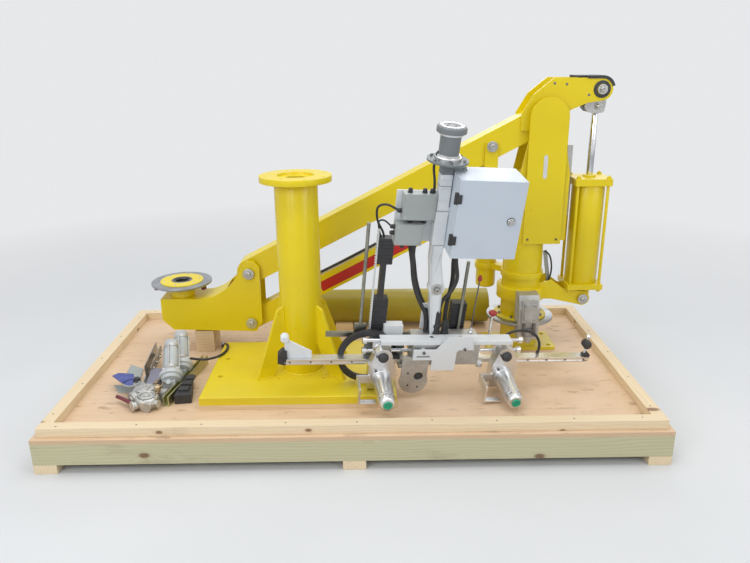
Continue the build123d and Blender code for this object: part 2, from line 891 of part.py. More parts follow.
spare_tube_y = base_depth / 2 - spare_tube_inset
spare_tube_z = deck_top + cradle_height + spare_tube_outer / 2
spare_tube_left = spare_tube_x - spare_tube_length / 2
with BuildPart() as spare_tube:
    with BuildSketch(Plane.YZ.offset(spare_tube_left)):
        with Locations((spare_tube_y, spare_tube_z)):
            Circle(spare_tube_outer / 2)
            Circle(spare_tube_outer / 2 - spare_tube_wall, mode=Mode.SUBTRACT)
    extrude(amount=spare_tube_length)

block_left = head_left + head_block_at - lumber_width / 2
with BuildPart() as timber_blocks:
    with BuildSketch(Plane.XY.offset(deck_top)):
        with Locations(column_centre):
            with GridLocations(0, (plate_depth - shim_width) / 2, 1, 3):
                Rectangle(plate_length + 2 * plate_bevel, shim_width)
    extrude(amount=shim_thickness)
    with BuildSketch(Plane.XY.offset(deck_top)):
        with Locations((block_left + lumber_width / 2, arm_y)):
            Rectangle(lumber_width, head_width - 2 * head_plate)
    extrude(amount=head_low - deck_top - seat)
    with BuildSketch(Plane.XY.offset(deck_top)):
        with Locations((spare_tube_x, spare_tube_y)):
            with GridLocations(cradle_spacing, 0, 2, 1):
                Rectangle(lumber_width, spare_tube_outer)
    extrude(amount=3 * cradle_height)
    with BuildSketch(Plane.YZ.offset(spare_tube_left)):
        with Locations((spare_tube_y, spare_tube_z)):
            Circle(spare_tube_outer / 2 + seat)
    extrude(amount=spare_tube_length, mode=Mode.SUBTRACT)

# Lifting tool. Its own axes: right along the rail, up, and forward to the viewer.


def leaning(direction):
    """A direction of the upright tool, turned to how the tool leans."""
    return direction.rotate(Axis.Y, tool_roll).rotate(Axis.X, tool_lean).rotate(Axis.Z, tool_turn)


tool_right = leaning(Vector(1, 0, 0))
tool_up = leaning(Vector(0, 0, 1))
tool_forward = leaning(Vector(0, -1, 0))
tool_origin = Vector(tool_x, tool_y, plate_top + tool_rise)


def front_plane(forward):
    """Plane of the tool's front, at a distance forward of the rail's face."""
    return Plane(origin=tool_origin + tool_forward * forward, x_dir=tool_right, z_dir=tool_forward)


def level_plane(height):
    """Plane across the tool, at a height above the middle of the rail; its Y points back."""
    return Plane(origin=tool_origin + tool_up * height, x_dir=tool_right, z_dir=tool_up)


def end_plane(right):
    """Plane square to the rail, at a distance right of its middle; its X points back and its Y up."""
    return Plane(origin=tool_origin + tool_right * right, x_dir=tool_forward * -1, z_dir=tool_right)


mandrel_at = mandrel_spacing / 2
rail_top = rail_height / 2
body_top = rail_top + body_height
first_rail_hole = rail_length / 2 - rail_hole_inset
slide_rods_back = rail_depth / 2

with BuildPart() as tool_rail:
    with BuildSketch(front_plane(-rail_depth)):
        Rectangle(rail_length, rail_height)
        for side in (-1, 1):
            for step in range(4):
                with Locations((side * (first_rail_hole - step * rail_hole_step), 0)):
                    Circle(rail_hole / 2, mode=Mode.SUBTRACT)
    extrude(amount=rail_depth)

with BuildPart() as slide_rods:
    with BuildSketch(end_plane(-slide_rod_length / 2)):
        with Locations((slide_rods_back, slide_rod_low), (slide_rods_back, slide_rod_high)):
            Circle(slide_rod / 2)
    extrude(amount=slide_rod_length)

with BuildPart() as tool_body:
    with BuildSketch(front_plane(-body_back)):
        with Locations((0, rail_top + body_height / 2)):
            Rectangle(body_width, body_height)
    extrude(amount=body_back + body_front)
    with BuildSketch(end_plane(-body_width / 2)):
        with Locations((slide_rods_back, slide_rod_low), (slide_rods_back, slide_rod_high)):
            Circle(slide_rod / 2 + fit)
    extrude(amount=body_width, mode=Mode.SUBTRACT)

strip_front = body_front + seat
with BuildPart() as tool_top_strip:
    with BuildSketch(end_plane(-top_strip_length / 2)):
        with BuildLine():
            Polyline(
                (top_strip_back, body_top),
                (top_strip_back, body_top + top_strip_plate),
                (-strip_front - top_strip_plate, body_top + top_strip_plate),
                (-strip_front - top_strip_plate, body_top - top_strip_lip),
                (-strip_front, body_top - top_strip_lip),
                (-strip_front, body_top),
                close=True,
            )
        make_face()
    extrude(amount=top_strip_length)

# Front panel of the tool, and the flange plate behind it

panel_back = body_front + panel_gap
panel_left = -body_width / 2
left_boss = body_top - panel_step - panel_gap - seat
with BuildPart() as tool_panel:
    with BuildSketch(front_plane(panel_back)):
        with BuildLine():
            Polyline(
                (panel_left, slide_rod_low),
                (panel_left, body_top - panel_step),
                (-panel_horn_left, body_top - panel_step),
                (0, body_top + panel_rise - panel_gap / 2),
                (panel_horn_right, body_top + panel_rise),
                (panel_right, body_top - panel_step),
                (panel_middle_right + panel_gap, body_top - panel_step),
                (panel_middle_right, slide_rod_high - panel_gap),
                (panel_middle_right, -rail_top),
                (-panel_middle_left, -rail_top),
                (-panel_middle_left, slide_rod_low),
                close=True,
            )
        make_face()
        with Locations((-panel_slot_at, slide_rod_low + 2 * panel_slot_width)):
            SlotOverall(panel_slot, panel_slot_width, mode=Mode.SUBTRACT)
    extrude(amount=panel_plate)
    with BuildSketch(front_plane(body_front)):
        with Locations((-panel_slot_at, left_boss), (panel_boss_right, body_top - panel_step + panel_gap / 2)):
            Circle(panel_gap)
    extrude(amount=panel_gap)

with BuildPart() as flange_plate:
    with BuildSketch(front_plane(body_front + seat)):
        with Locations((flange_plate_x, -flange_plate_radius - rail_top)):
            Circle(flange_plate_radius)
        with Locations((flange_plate_x, -rail_top)):
            Rectangle(2 * flange_plate_radius - panel_gap, 2 * flange_plate_radius)
        with Locations((flange_plate_x + flange_plate_bore / 2, -slide_rod_low)):
            Circle(flange_plate_bore / 2, mode=Mode.SUBTRACT)
    extrude(amount=panel_plate)

disc_back = (tool_origin - tool_right * disc_at - tool_forward * rail_depth).Z
disc_drop = (disc_back - plate_top - seat) / sqrt(1 - tool_forward.Z**2)
with BuildPart() as rear_disc:
    with BuildSketch(front_plane(-rail_depth)):
        with Locations((-disc_at, 0)):
            Circle(disc_drop)
            Circle(disc_drop - disc_ring, mode=Mode.SUBTRACT)
    extrude(amount=-disc_plate)

# Mandrels: blocks that slide on the rail, tapered mandrels and the bent shoe beside each

block_corner = tool_origin - tool_right * (mandrel_at - block_width / 2) + tool_forward * block_plate
block_bottom = (plate_top + seat - block_corner.Z) / tool_up.Z
ring_top = block_ring_height + block_ring / 2
with BuildPart() as mandrel_blocks:
    for centre in (-mandrel_at, mandrel_at):
        with BuildSketch(front_plane(seat)):
            with BuildLine():
                Polyline(
                    (centre - block_ring / 2, block_ring_height),
                    (centre - block_width / 2, 0),
                    (centre - block_width / 2, block_bottom),
                    (centre + block_width / 2, block_bottom),
                    (centre + block_width / 2, 0),
                    (centre + block_ring / 2, block_ring_height),
                )
                ThreePointArc(
                    (centre + block_ring / 2, block_ring_height),
                    (centre, ring_top),
                    (centre - block_ring / 2, block_ring_height),
                )
            make_face()
            with Locations((centre, block_ring_height)):
                Circle(block_bore / 2, mode=Mode.SUBTRACT)
        extrude(amount=block_plate)
        with BuildSketch(front_plane(seat)):
            with Locations((centre, (rail_top + ring_top) / 2 + seat)):
                Rectangle(block_ring, ring_top - rail_top)
            with Locations((centre, block_ring_height)):
                Circle(block_bore / 2, mode=Mode.SUBTRACT)
        extrude(amount=-lug_depth)
    with BuildSketch(end_plane(-slide_rod_length / 2)):
        with Locations((slide_rods_back, slide_rod_low), (slide_rods_back, slide_rod_high)):
            Circle(slide_rod / 2 + fit)
    extrude(amount=slide_rod_length, mode=Mode.SUBTRACT)

block_face = block_plate + seat
mandrel_taper = degrees(atan2((mandrel_root - mandrel_tip) / 2, mandrel_length))
with BuildPart() as mandrels:
    with BuildSketch(front_plane(block_face)):
        with Locations((-mandrel_at, -mandrel_drop), (mandrel_at, -mandrel_drop)):
            Circle(mandrel_root / 2)
    extrude(amount=mandrel_length, taper=mandrel_taper)

shoe_tip = block_face + shoe_length
shoe_front = shoe_tip - shoe_foot
with BuildPart() as mandrel_shoes:
    for centre in (-mandrel_at, mandrel_at):
        with BuildSketch(front_plane(block_face)):
            with Locations((centre - (shoe_reach + mandrel_root / 2 + shoe_plate) / 2, -mandrel_drop)):
                Rectangle(shoe_reach - mandrel_root / 2 - shoe_plate, block_ring / 2)
        extrude(amount=shoe_plate)
        with BuildSketch(end_plane(centre - shoe_reach)):
            with BuildLine():
                Polyline(
                    (-block_face, -mandrel_drop + block_ring / 4),
                    (-shoe_tip, -mandrel_drop + block_ring / 4),
                    (-shoe_tip, -shoe_drop),
                    (-shoe_front, -shoe_drop),
                    (-shoe_front, -mandrel_drop - block_ring / 4),
                    (-block_face, -mandrel_drop - block_ring / 4),
                    close=True,
                )
            make_face()
        extrude(amount=shoe_plate)
        with BuildSketch(front_plane(shoe_front)):
            with Locations((centre - shoe_reach + block_ring / 2, shoe_plate / 2 - shoe_drop)):
                Rectangle(block_ring, shoe_plate)
        extrude(amount=shoe_foot)

# Handles at the ends of the rail

with BuildPart() as rail_handles:
    with BuildSketch(front_plane(-rail_depth / 2)):
        with BuildLine():
            Polyline(
                (-rail_length / 2, rail_top),
                (-rail_length / 2, rail_top + handle_height),
                (-rail_length / 2 + knob_outer / 2, rail_top + handle_height),
                (-rail_length / 2 + handle_width, rail_top + knob_outer),
                (-rail_length / 2 + handle_width, rail_top),
                close=True,
            )
        make_face()
        with Locations((rail_length / 2 - knob_outer / 2, rail_top + handle_height / 4)):
            Rectangle(handle_plate, handle_height / 2)
    extrude(amount=handle_plate / 2, both=True)
    with BuildSketch(front_plane(-(rail_depth + knob_outer) / 2)):
        with Locations((-rail_length / 2, rail_top + handle_height + knob_outer / 3)):
            Circle(knob_outer / 2)
        with Locations((rail_length / 2 - knob_outer / 2, rail_top + (handle_height + knob_outer) / 2)):
            Circle(knob_outer / 2)
    extrude(amount=knob_outer)
    fillet(rail_handles.edges().filter_by(lambda edge: edge.is_closed), radius=knob_outer / 5)

# Upright of the tool: a bent lower arm on a knee pin, and a square tube with a sleeve

half_side = upright_side / 2
valve_right = upright_x - sleeve_side / 2 - seat
valve_left = valve_right - valve_box_width
valve_top = valve_box_bottom + valve_box_height
relay_left = valve_left - relay_box_shift
relay_top = valve_box_bottom - relay_box_gap
relay_bottom = relay_top - relay_box_height
with BuildPart() as tool_upright:
    with BuildSketch(front_plane(-upright_back)):
        with BuildLine():
            Polyline(
                (foot_x - half_side * 0.7, body_top),
                (knee_x - half_side, knee_height - knee_radius),
                (upright_x - half_side, knee_height + 4 * knee_radius),
                (upright_x - half_side, sleeve_bottom),
                (upright_x + half_side, sleeve_bottom),
                (upright_x + half_side, knee_height + 4 * knee_radius),
                (knee_x + half_side, knee_height + knee_radius),
                (foot_x + half_side * 0.7, body_top),
                close=True,
            )
        make_face()
        with Locations((knee_x, knee_height)):
            Circle(knee_radius)
        with Locations((upright_x, (sleeve_bottom + upright_top) / 2)):
            Rectangle(upright_side, upright_top - sleeve_bottom)
        with Locations(((upright_x + box_left) / 2, sleeve_top), ((upright_x + box_left) / 2, sleeve_bottom)):
            Rectangle(box_left - upright_x, tab_height)
    extrude(amount=upright_side)
    with BuildSketch(front_plane(-upright_back)):
        with Locations((upright_x, (sleeve_bottom + sleeve_top) / 2)):
            Rectangle(sleeve_side, sleeve_top - sleeve_bottom)
    extrude(amount=upright_side + (sleeve_side - upright_side) / 2)
    with BuildSketch(front_plane(-upright_back)):
        with Locations(((relay_left + upright_x) / 2, (valve_top + relay_bottom) / 2)):
            Rectangle(upright_x - relay_left, valve_top - relay_bottom)
    extrude(amount=-valve_box_plate)

hub_back = upright_back - half_side
cap_bottom = upright_top + hub_height - hub_cap_height
with BuildPart() as tool_hub:
    with BuildSketch(level_plane(upright_top)):
        with Locations((upright_x, hub_back)):
            Rectangle(upright_side, upright_side)
    extrude(amount=hub_disc_rise)
    with BuildSketch(level_plane(upright_top + hub_disc_rise)):
        with Locations((upright_x, hub_back)):
            Circle(hub_disc / 2)
    extrude(amount=hub_disc_plate)
    with BuildSketch(level_plane(upright_top + hub_disc_rise)):
        with Locations((upright_x, hub_back)):
            Circle(hub_neck / 2)
    extrude(amount=hub_height - hub_cap_height - hub_disc_rise)
    with BuildSketch(level_plane(cap_bottom)):
        with Locations((upright_x, hub_back)):
            Circle(hub_cap / 2)
    extrude(amount=hub_cap_height)
    fillet(tool_hub.faces().sort_by(SortBy.DISTANCE, reverse=True)[0].edges(), radius=hub_disc_plate)

# Control box with its door, and the two valve boxes

box_back = box_front - box_depth
box_middle = (box_left + box_width / 2, box_bottom + box_height / 2)
shell_depth = box_depth - door_depth - door_gap
hinge_x = box_left - hinge_outer / 2
hinge_forward = box_front - door_depth / 2
with BuildPart() as control_box:
    with BuildSketch(front_plane(box_back)):
        with Locations(box_middle):
            Rectangle(box_width, box_height)
    extrude(amount=shell_depth)
    with BuildSketch(front_plane(box_back + box_wall)):
        with Locations(box_middle):
            Rectangle(box_width - 2 * box_wall, box_height - 2 * box_wall)
    extrude(amount=shell_depth, mode=Mode.SUBTRACT)

with BuildPart() as box_door:
    with BuildSketch(front_plane(box_front - door_depth)):
        with Locations(box_middle):
            Rectangle(box_width, box_height)
    extrude(amount=door_depth)
    with BuildSketch(front_plane(box_front - door_depth)):
        with Locations(box_middle):
            Rectangle(box_width - 2 * box_wall, box_height - 2 * box_wall)
    extrude(amount=door_depth - box_wall, mode=Mode.SUBTRACT)
    for hinge_bottom in (box_bottom + hinge_inset, box_bottom + box_height - hinge_inset - hinge_height):
        with BuildSketch(level_plane(hinge_bottom)):
            with Locations((hinge_x, -hinge_forward)):
                Circle(hinge_outer / 2)
            with Locations((box_left - hinge_outer / 4, -hinge_forward)):
                Rectangle(hinge_outer / 2 + 2 * box_wall, hinge_leaf)
        extrude(amount=hinge_height)

with BuildPart() as valve_boxes:
    with BuildSketch(front_plane(-upright_back)):
        with Locations(((valve_left + valve_right) / 2, (valve_box_bottom + valve_top) / 2)):
            Rectangle(valve_box_width, valve_box_height)
        with Locations((relay_left + relay_box_width / 2, (relay_bottom + relay_top) / 2)):
            Rectangle(relay_box_width, relay_box_height)
    extrude(amount=valve_box_depth)

# Drag chains and guide rods behind the body

guide_back = body_back + guide_bar_depth
with BuildPart() as guide_rods:
    with BuildSketch(front_plane(-body_back)):
        with Locations((-guide_rod_at / 2, slide_rod_high)):
            Rectangle(guide_rod_at + body_width, guide_bar)
        with Locations((-guide_rod_at, slide_rod_high + guide_bar)):
            Rectangle(2.5 * guide_bar, 3 * guide_bar)
    extrude(amount=-guide_bar_depth)
    for right, height in ((-guide_rod_at, guide_rod_height), (body_width / 4, short_rod_height)):
        with BuildSketch(level_plane(slide_rod_high)):
            with Locations((right, body_back + guide_bar_depth / 2)):
                Circle(guide_bar_depth / 2)
        extrude(amount=height)

chain_bottom = slide_rod_high - guide_bar / 2
with BuildPart() as drag_chains:
    with BuildSketch(front_plane(-guide_back)):
        with Locations((-chain_at, chain_bottom + low_chain_height / 2)):
            Rectangle(chain_width, low_chain_height)
        with Locations((-chain_at, chain_bottom + chain_height / 2)):
            Rectangle(chain_width / 3, chain_height)
        with Locations((-chain_at, chain_bottom + chain_height - high_chain_height / 2)):
            Rectangle(chain_width, high_chain_height)
        with Locations((right_chain_at, chain_bottom + right_chain_height / 2)):
            Rectangle(chain_width, right_chain_height)
    extrude(amount=-chain_depth)

# Hoses: straight runs joined by bends, each bend as large as its runs allow


def hose_radii(route):
    """Radius of each bend of a hose's route, which is given as points on its plane."""
    points = [Vector(*point) for point in route]
    radii = []
    for before, corner, after in zip(points, points[1:], points[2:]):
        turn = radians((corner - before).get_angle(after - corner))
        run = min((corner - before).length, (after - corner).length)
        radii.append(0.45 * run / tan(turn / 2))
    return radii


boxes_middle = valve_box_depth / 2 - upright_back
hose_end_x = foot_x - 2 * thick_hose
valve_hose_route = [
    (-167, relay_bottom),
    (-167, 445),
    (-158, 373),
    (-139, 307),
    (-111, 247),
    (hose_end_x, 194),
    (hose_end_x, body_top),
]
valve_hose_radii = hose_radii(valve_hose_route)
print("tool hose radii", [round(radius) for radius in valve_hose_radii])

with BuildPart() as tool_hose:
    with BuildLine(front_plane(boxes_middle)):
        FilletPolyline(*valve_hose_route, radius=valve_hose_radii)
    with BuildSketch(level_plane(relay_bottom)):
        with Locations((valve_hose_route[0][0], -boxes_middle)):
            Circle(thick_hose / 2)
    sweep()

# Air unit: a channel with a pair of filters, their valve block and a shut-off valve

air_x = column_x - plate_length / 2 - air_gap
air_y = air_inset - base_depth / 2
air_along = Vector(1, 0, 0).rotate(Axis.Z, air_turn)
air_across = Vector(0, 1, 0).rotate(Axis.Z, air_turn)
filter_axis = Vector(1, 0, 0).rotate(Axis.Y, -filter_lift).rotate(Axis.Z, filter_turn)
filter_side = Vector(0, 1, 0).rotate(Axis.Z, filter_turn)
unit_left = channel_width / 2 + seat


def air_plane(height):
    """Level plane of the air unit: X back along its channel, Y to the left."""
    return Plane(origin=(air_x, air_y, deck_top + height), x_dir=air_along, z_dir=(0, 0, 1))


def filter_plane(along, across):
    """Plane square to a filter, through the middle of its lower end."""
    foot = Vector(air_x, air_y, deck_top + filter_height) + air_along * along + air_across * across
    return Plane(origin=foot, x_dir=filter_side, z_dir=filter_axis)


filter_feet = ((filter_at, filter_across), (filter_at + filter_step, filter_across))
with BuildPart() as air_channel:
    with BuildSketch(air_plane(0)):
        with Locations((channel_length / 2, 0)):
            Rectangle(channel_length, channel_width)
    extrude(amount=channel_height)
    with BuildSketch(air_plane(channel_wall)):
        with Locations((channel_length / 2, 0)):
            Rectangle(channel_length, channel_width - 2 * channel_wall)
    extrude(amount=channel_height, mode=Mode.SUBTRACT)

filter_tilt = radians(filter_lift)
filter_foot = filter_height - filter_base * sin(filter_tilt) - filter_head / 2 * cos(filter_tilt)
air_block_height = filter_foot - seat
block_across = filter_outer + channel_wall
with BuildPart() as air_block:
    with BuildSketch(air_plane(0)):
        with Locations((filter_at + filter_step / 2, unit_left + block_across / 2)):
            Rectangle(filter_step + filter_outer + channel_height, block_across)
    extrude(amount=air_block_height)
    with BuildSketch(air_plane(0)):
        with Locations((filter_at + filter_step / 2, unit_left + block_across + regulator_width / 2)):
            Rectangle(regulator_width, regulator_width)
    extrude(amount=channel_wall)

with BuildPart() as air_filters:
    for along, across in filter_feet:
        with BuildSketch(filter_plane(along, across)):
            Circle(filter_outer / 2)
        extrude(amount=filter_length)
        with BuildSketch(filter_plane(along, across)):
            Rectangle(filter_head, filter_head)
        extrude(amount=-filter_base)

valve_pipe_end = air_plane(valve_pipe / 2 + seat).from_local_coords((valve_pipe_start, valve_pipe_across))
valve_pipe_plane = Plane(origin=valve_pipe_end, z_dir=air_along)
valve_lever_middle = ((valve_along + valve_lever_along) / 2, (valve_across + valve_lever_across) / 2)
with BuildPart() as air_valve:
    with BuildSketch(air_plane(0)):
        with Locations((valve_along, valve_across)):
            Circle(valve_outer / 2)
        with Locations((valve_along, (unit_left + valve_across) / 2)):
            Rectangle(valve_outer / 3, valve_across - unit_left)
    extrude(amount=valve_height)
    with BuildSketch(valve_pipe_plane):
        Circle(valve_pipe / 2)
    extrude(amount=valve_along - valve_pipe_start)
    with BuildSketch(air_plane(valve_height - valve_lever_plate)):
        SlotCenterPoint(valve_lever_middle, (valve_along, valve_across), valve_lever_width)
    extrude(amount=valve_lever_plate)

pieces = {
    "pallet_runners": pallet_runners,
    "pallet_frame": pallet_frame,
    "pallet_deck": pallet_deck,
    "pallet_rim": pallet_rim,
    "timber_blocks": timber_blocks,
    "column_base_plate": column_base_plate,
    "column_tube": column_tube,
    "column_flange": column_flange,
    "column_gussets": column_gussets,
    "arm_post": arm_post,
    "brake_disc": brake_disc,
    "slew_tube": slew_tube,
    "slew_brackets": slew_brackets,
    "brake_caliper": brake_caliper,
    "air_reservoir": air_reservoir,
    "housing_cheeks": housing_cheeks,
    "housing_covers": housing_covers,
    "pivot_pins": pivot_pins,
    "cylinder_barrel": cylinder_barrel,
    "cylinder_heads": cylinder_heads,
    "tie_rods": tie_rods,
    "piston_rod": piston_rod,
    "rod_yoke": rod_yoke,
    "upper_beam": upper_beam,
    "lever_plates": lever_plates,
    "lever_guard": lever_guard,
    "arm_pins": arm_pins,
    "lower_beam": lower_beam,
    "lower_link_pin": lower_link_pin,
    "middle_link": middle_link,
    "arm_head": arm_head,
    "head_pins": head_pins,
    "swivel_disc": swivel_disc,
    "swivel_ring": swivel_ring,
    "spare_tube": spare_tube,
    "tool_rail": tool_rail,
    "slide_rods": slide_rods,
    "tool_body": tool_body,
    "tool_top_strip": tool_top_strip,
    "tool_panel": tool_panel,
    "flange_plate": flange_plate,
    "rear_disc": rear_disc,
    "mandrel_blocks": mandrel_blocks,
    "mandrels": mandrels,
    "mandrel_shoes": mandrel_shoes,
    "rail_handles": rail_handles,
    "tool_upright": tool_upright,
    "tool_hub": tool_hub,
    "control_box": control_box,
    "box_door": box_door,
    "valve_boxes": valve_boxes,
    "guide_rods": guide_rods,
    "drag_chains": drag_chains,
    "tool_hose": tool_hose,
    "air_channel": air_channel,
    "air_block": air_block,
    "air_filters": air_filters,
    "air_valve": air_valve,
}

for name, piece in pieces.items():
    piece.part.label = name
    export_step(piece.part, f"parts/{name}.step")
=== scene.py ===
"""Looks of the pneumatic manipulator arm that lies in pieces on its timber shipping base.

Places are in millimetres, in the axes of the part that a piece belongs to. The lifting tool's height is v.
"""

import random
from itertools import product
from math import cos, pi, radians, sin

import bmesh
import bpy
from mathutils import Matrix, Vector


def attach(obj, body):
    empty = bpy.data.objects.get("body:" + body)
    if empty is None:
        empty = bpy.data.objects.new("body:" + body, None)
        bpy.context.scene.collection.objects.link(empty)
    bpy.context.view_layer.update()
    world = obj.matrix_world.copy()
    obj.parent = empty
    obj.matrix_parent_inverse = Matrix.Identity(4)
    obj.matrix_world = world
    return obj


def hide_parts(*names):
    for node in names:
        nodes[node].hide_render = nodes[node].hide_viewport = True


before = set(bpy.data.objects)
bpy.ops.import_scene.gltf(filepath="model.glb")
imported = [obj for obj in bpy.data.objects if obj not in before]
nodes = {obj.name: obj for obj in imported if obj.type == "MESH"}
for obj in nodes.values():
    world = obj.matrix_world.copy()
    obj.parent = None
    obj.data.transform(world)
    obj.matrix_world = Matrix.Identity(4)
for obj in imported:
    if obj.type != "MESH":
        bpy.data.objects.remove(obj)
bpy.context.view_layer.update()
scene = bpy.context.scene
draw = random.Random(11)

# Directions in the axes of a part, as seen from in front of the row

RIGHT, BACK, UP = (1, 0, 0), (0, 1, 0), (0, 0, 1)
LEFT, FRONT, DOWN = (-1, 0, 0), (0, -1, 0), (0, 0, -1)

# Axes of the parts: the row itself, the lower beam and the lifting tool


def turned(angle, axis):
    """A turn by an angle in degrees."""
    return Matrix.Rotation(radians(angle), 4, axis)


ARM_Y = 214
ROW = Matrix.Scale(0.001, 4)
LOWER = ROW @ Matrix.Translation((862, ARM_Y, 999)) @ turned(-27.3, "Y")
TOOL = ROW @ Matrix.Translation((363.6, -318.3, 296.9)) @ turned(7, "Z") @ turned(10, "X") @ turned(3.8, "Y")


# Materials


def add_node(tree, kind, inputs=None, **settings):
    """A shader node. Each input is a value or the socket that feeds it."""
    node = tree.nodes.new(kind)
    for key, value in settings.items():
        setattr(node, key, value)
    for key, value in (inputs or {}).items():
        if isinstance(value, bpy.types.NodeSocket):
            tree.links.new(value, node.inputs[key])
        else:
            node.inputs[key].default_value = value
    return node


class Shader:
    """A material that is built from procedural nodes."""

    def __init__(self, name, **values):
        self.material = bpy.data.materials.new(name)
        self.material.use_nodes = True
        self.tree = self.material.node_tree
        self.surface = self.tree.nodes["Principled BSDF"]
        for key, value in values.items():
            self.surface.inputs[key.replace("_", " ").title()].default_value = value
        self.coords = self.add("ShaderNodeTexCoord").outputs["Object"]

    def add(self, kind, inputs=None, **settings):
        return add_node(self.tree, kind, inputs, **settings)

    def noise(self, scale, detail, roughness=0.55, stretch=None, place=None, distortion=0.0):
        """Random spots, or streaks where stretch is given."""
        place = place or self.coords
        if stretch:
            place = self.add("ShaderNodeMapping", {"Vector": place, "Scale": stretch}).outputs[0]
        inputs = {"Vector": place, "Scale": scale, "Detail": detail, "Roughness": roughness,
                  "Distortion": distortion}
        return self.add("ShaderNodeTexNoise", inputs).outputs["Fac"]

    def span(self, value, low, high, to_low=0.0, to_high=1.0):
        """The value's range from low to high becomes to_low to to_high."""
        inputs = {"Value": value, "From Min": low, "From Max": high, "To Min": to_low, "To Max": to_high}
        return self.add("ShaderNodeMapRange", inputs).outputs[0]

    def math(self, operation, first, second=0.0):
        return self.add("ShaderNodeMath", {0: first, 1: second}, operation=operation).outputs[0]

    def mix(self, share, first, second):
        """Two colours or sockets, with a share of the second."""
        first, second = (c if isinstance(c, bpy.types.NodeSocket) else (*c, 1.0) for c in (first, second))
        return self.add("ShaderNodeMix", {0: share, 6: first, 7: second}, data_type="RGBA").outputs[2]

    def colour(self, socket):
        self.tree.links.new(socket, self.surface.inputs["Base Color"])

    def gloss(self, socket):
        self.tree.links.new(socket, self.surface.inputs["Roughness"])

    def bump(self, height, strength, distance):
        node = self.add("ShaderNodeBump", {"Height": height, "Strength": strength, "Distance": distance})
        self.tree.links.new(node.outputs[0], self.surface.inputs["Normal"])


def paint(name, base, shade, scuff, rough=0.32, worn=0.6):
    """Sprayed paint: a slight change of tone and gloss, fine orange peel and small scuffs."""
    made = Shader(name, roughness=rough, coat_weight=0.08, coat_roughness=0.18)
    tone = made.span(made.noise(3, 3), 0.35, 0.7)
    body = made.mix(tone, base, shade)
    marks = made.span(made.noise(38, 8, 0.72, (1, 1, 0.55)), 0.67, 0.74, 0.0, worn)
    made.colour(made.mix(marks, body, scuff))
    made.gloss(made.span(made.noise(14, 5), 0.3, 0.75, rough - 0.06, rough + 0.16))
    made.bump(made.noise(260, 2), 0.06, 0.0006)
    return made.material


def metal(name, base, shade, rough, grain=(1, 1, 40), strength=0.12):
    """Bare metal with fine machining lines, stains and a change of gloss."""
    made = Shader(name, metallic=1.0, roughness=rough)
    lines = made.noise(60, 3, 0.6, grain)
    stain = made.span(made.noise(17, 6, 0.65), 0.38, 0.68)
    made.colour(made.mix(stain, base, shade))
    made.gloss(made.span(lines, 0.25, 0.75, rough - 0.05, rough + 0.10))
    made.bump(lines, strength, 0.0004)
    return made.material


def plastic(name, base, shade, rough):
    """Moulded plastic or rubber: a fine texture and a change of tone and gloss."""
    made = Shader(name, roughness=rough)
    tone = made.span(made.noise(11, 6, 0.6), 0.36, 0.7)
    made.colour(made.mix(tone, base, shade))
    made.gloss(made.span(made.noise(30, 5), 0.3, 0.7, rough - 0.08, rough + 0.12))
    made.bump(made.noise(260, 3), 0.18, 0.0005)
    return made.material


def timber(name, pale, dark, knot, rings=95.0, knots=7.0, loose=True):
    """Sawn pine with rings and knots. Loose boards bring their own axes as an attribute, length along X."""
    made = Shader(name, roughness=0.62)
    place = made.coords
    if loose:
        place = made.add("ShaderNodeAttribute", attribute_name="grain").outputs["Vector"]
    x, y, z = made.add("ShaderNodeSeparateXYZ", {"Vector": place}).outputs
    slant = made.math("ADD", z, made.math("MULTIPLY", y, 0.25))
    flat = made.add("ShaderNodeCombineXYZ", {0: made.math("MULTIPLY", x, 0.55), 1: slant})
    cells = {"Vector": flat.outputs[0], "Scale": knots}
    spots = made.add("ShaderNodeTexVoronoi", cells, voronoi_dimensions="2D").outputs["Distance"]
    near = made.span(spots, 0.0, 0.16, 1.0, 0.0)
    soft = made.noise(2.2, 4, 0.6, (0.35, 1, 1), place)
    squares = made.math("ADD", made.math("POWER", y, 2.0), made.math("POWER", z, 2.0))
    across = made.math("POWER", squares, 0.5)
    swirl = made.math("ADD", made.math("MULTIPLY", soft, 0.11), made.math("MULTIPLY", near, 0.035))
    ring = made.math("SINE", made.math("MULTIPLY", made.math("ADD", across, swirl), rings * 6.0))
    late = made.span(ring, -0.2, 1.0, 0.0, 0.42)
    fibre = made.noise(90, 4, 0.7, (0.035, 1, 1), place)
    tone = made.mix(late, pale, dark)
    tone = made.mix(made.span(fibre, 0.35, 0.8, 0.0, 0.35), tone, dark)
    tone = made.mix(made.span(made.noise(1.3, 2, 0.5, place=place), 0.4, 0.75, 0.0, 0.35), tone, pale)
    stains = made.noise(6, 6, 0.7, (0.3, 1, 1), place)
    tone = made.mix(made.span(stains, 0.6, 0.72, 0.0, 0.3), tone, knot)
    tone = made.mix(made.span(spots, 0.045, 0.11, 0.45, 0.0), tone, dark)
    heart = made.span(spots, 0.035, 0.062, 0.9, 0.0)
    made.colour(made.mix(heart, tone, knot))
    made.gloss(made.span(fibre, 0.3, 0.7, 0.52, 0.72))
    made.bump(made.math("ADD", fibre, made.math("MULTIPLY", late, 0.6)), 0.25, 0.0012)
    return made.material


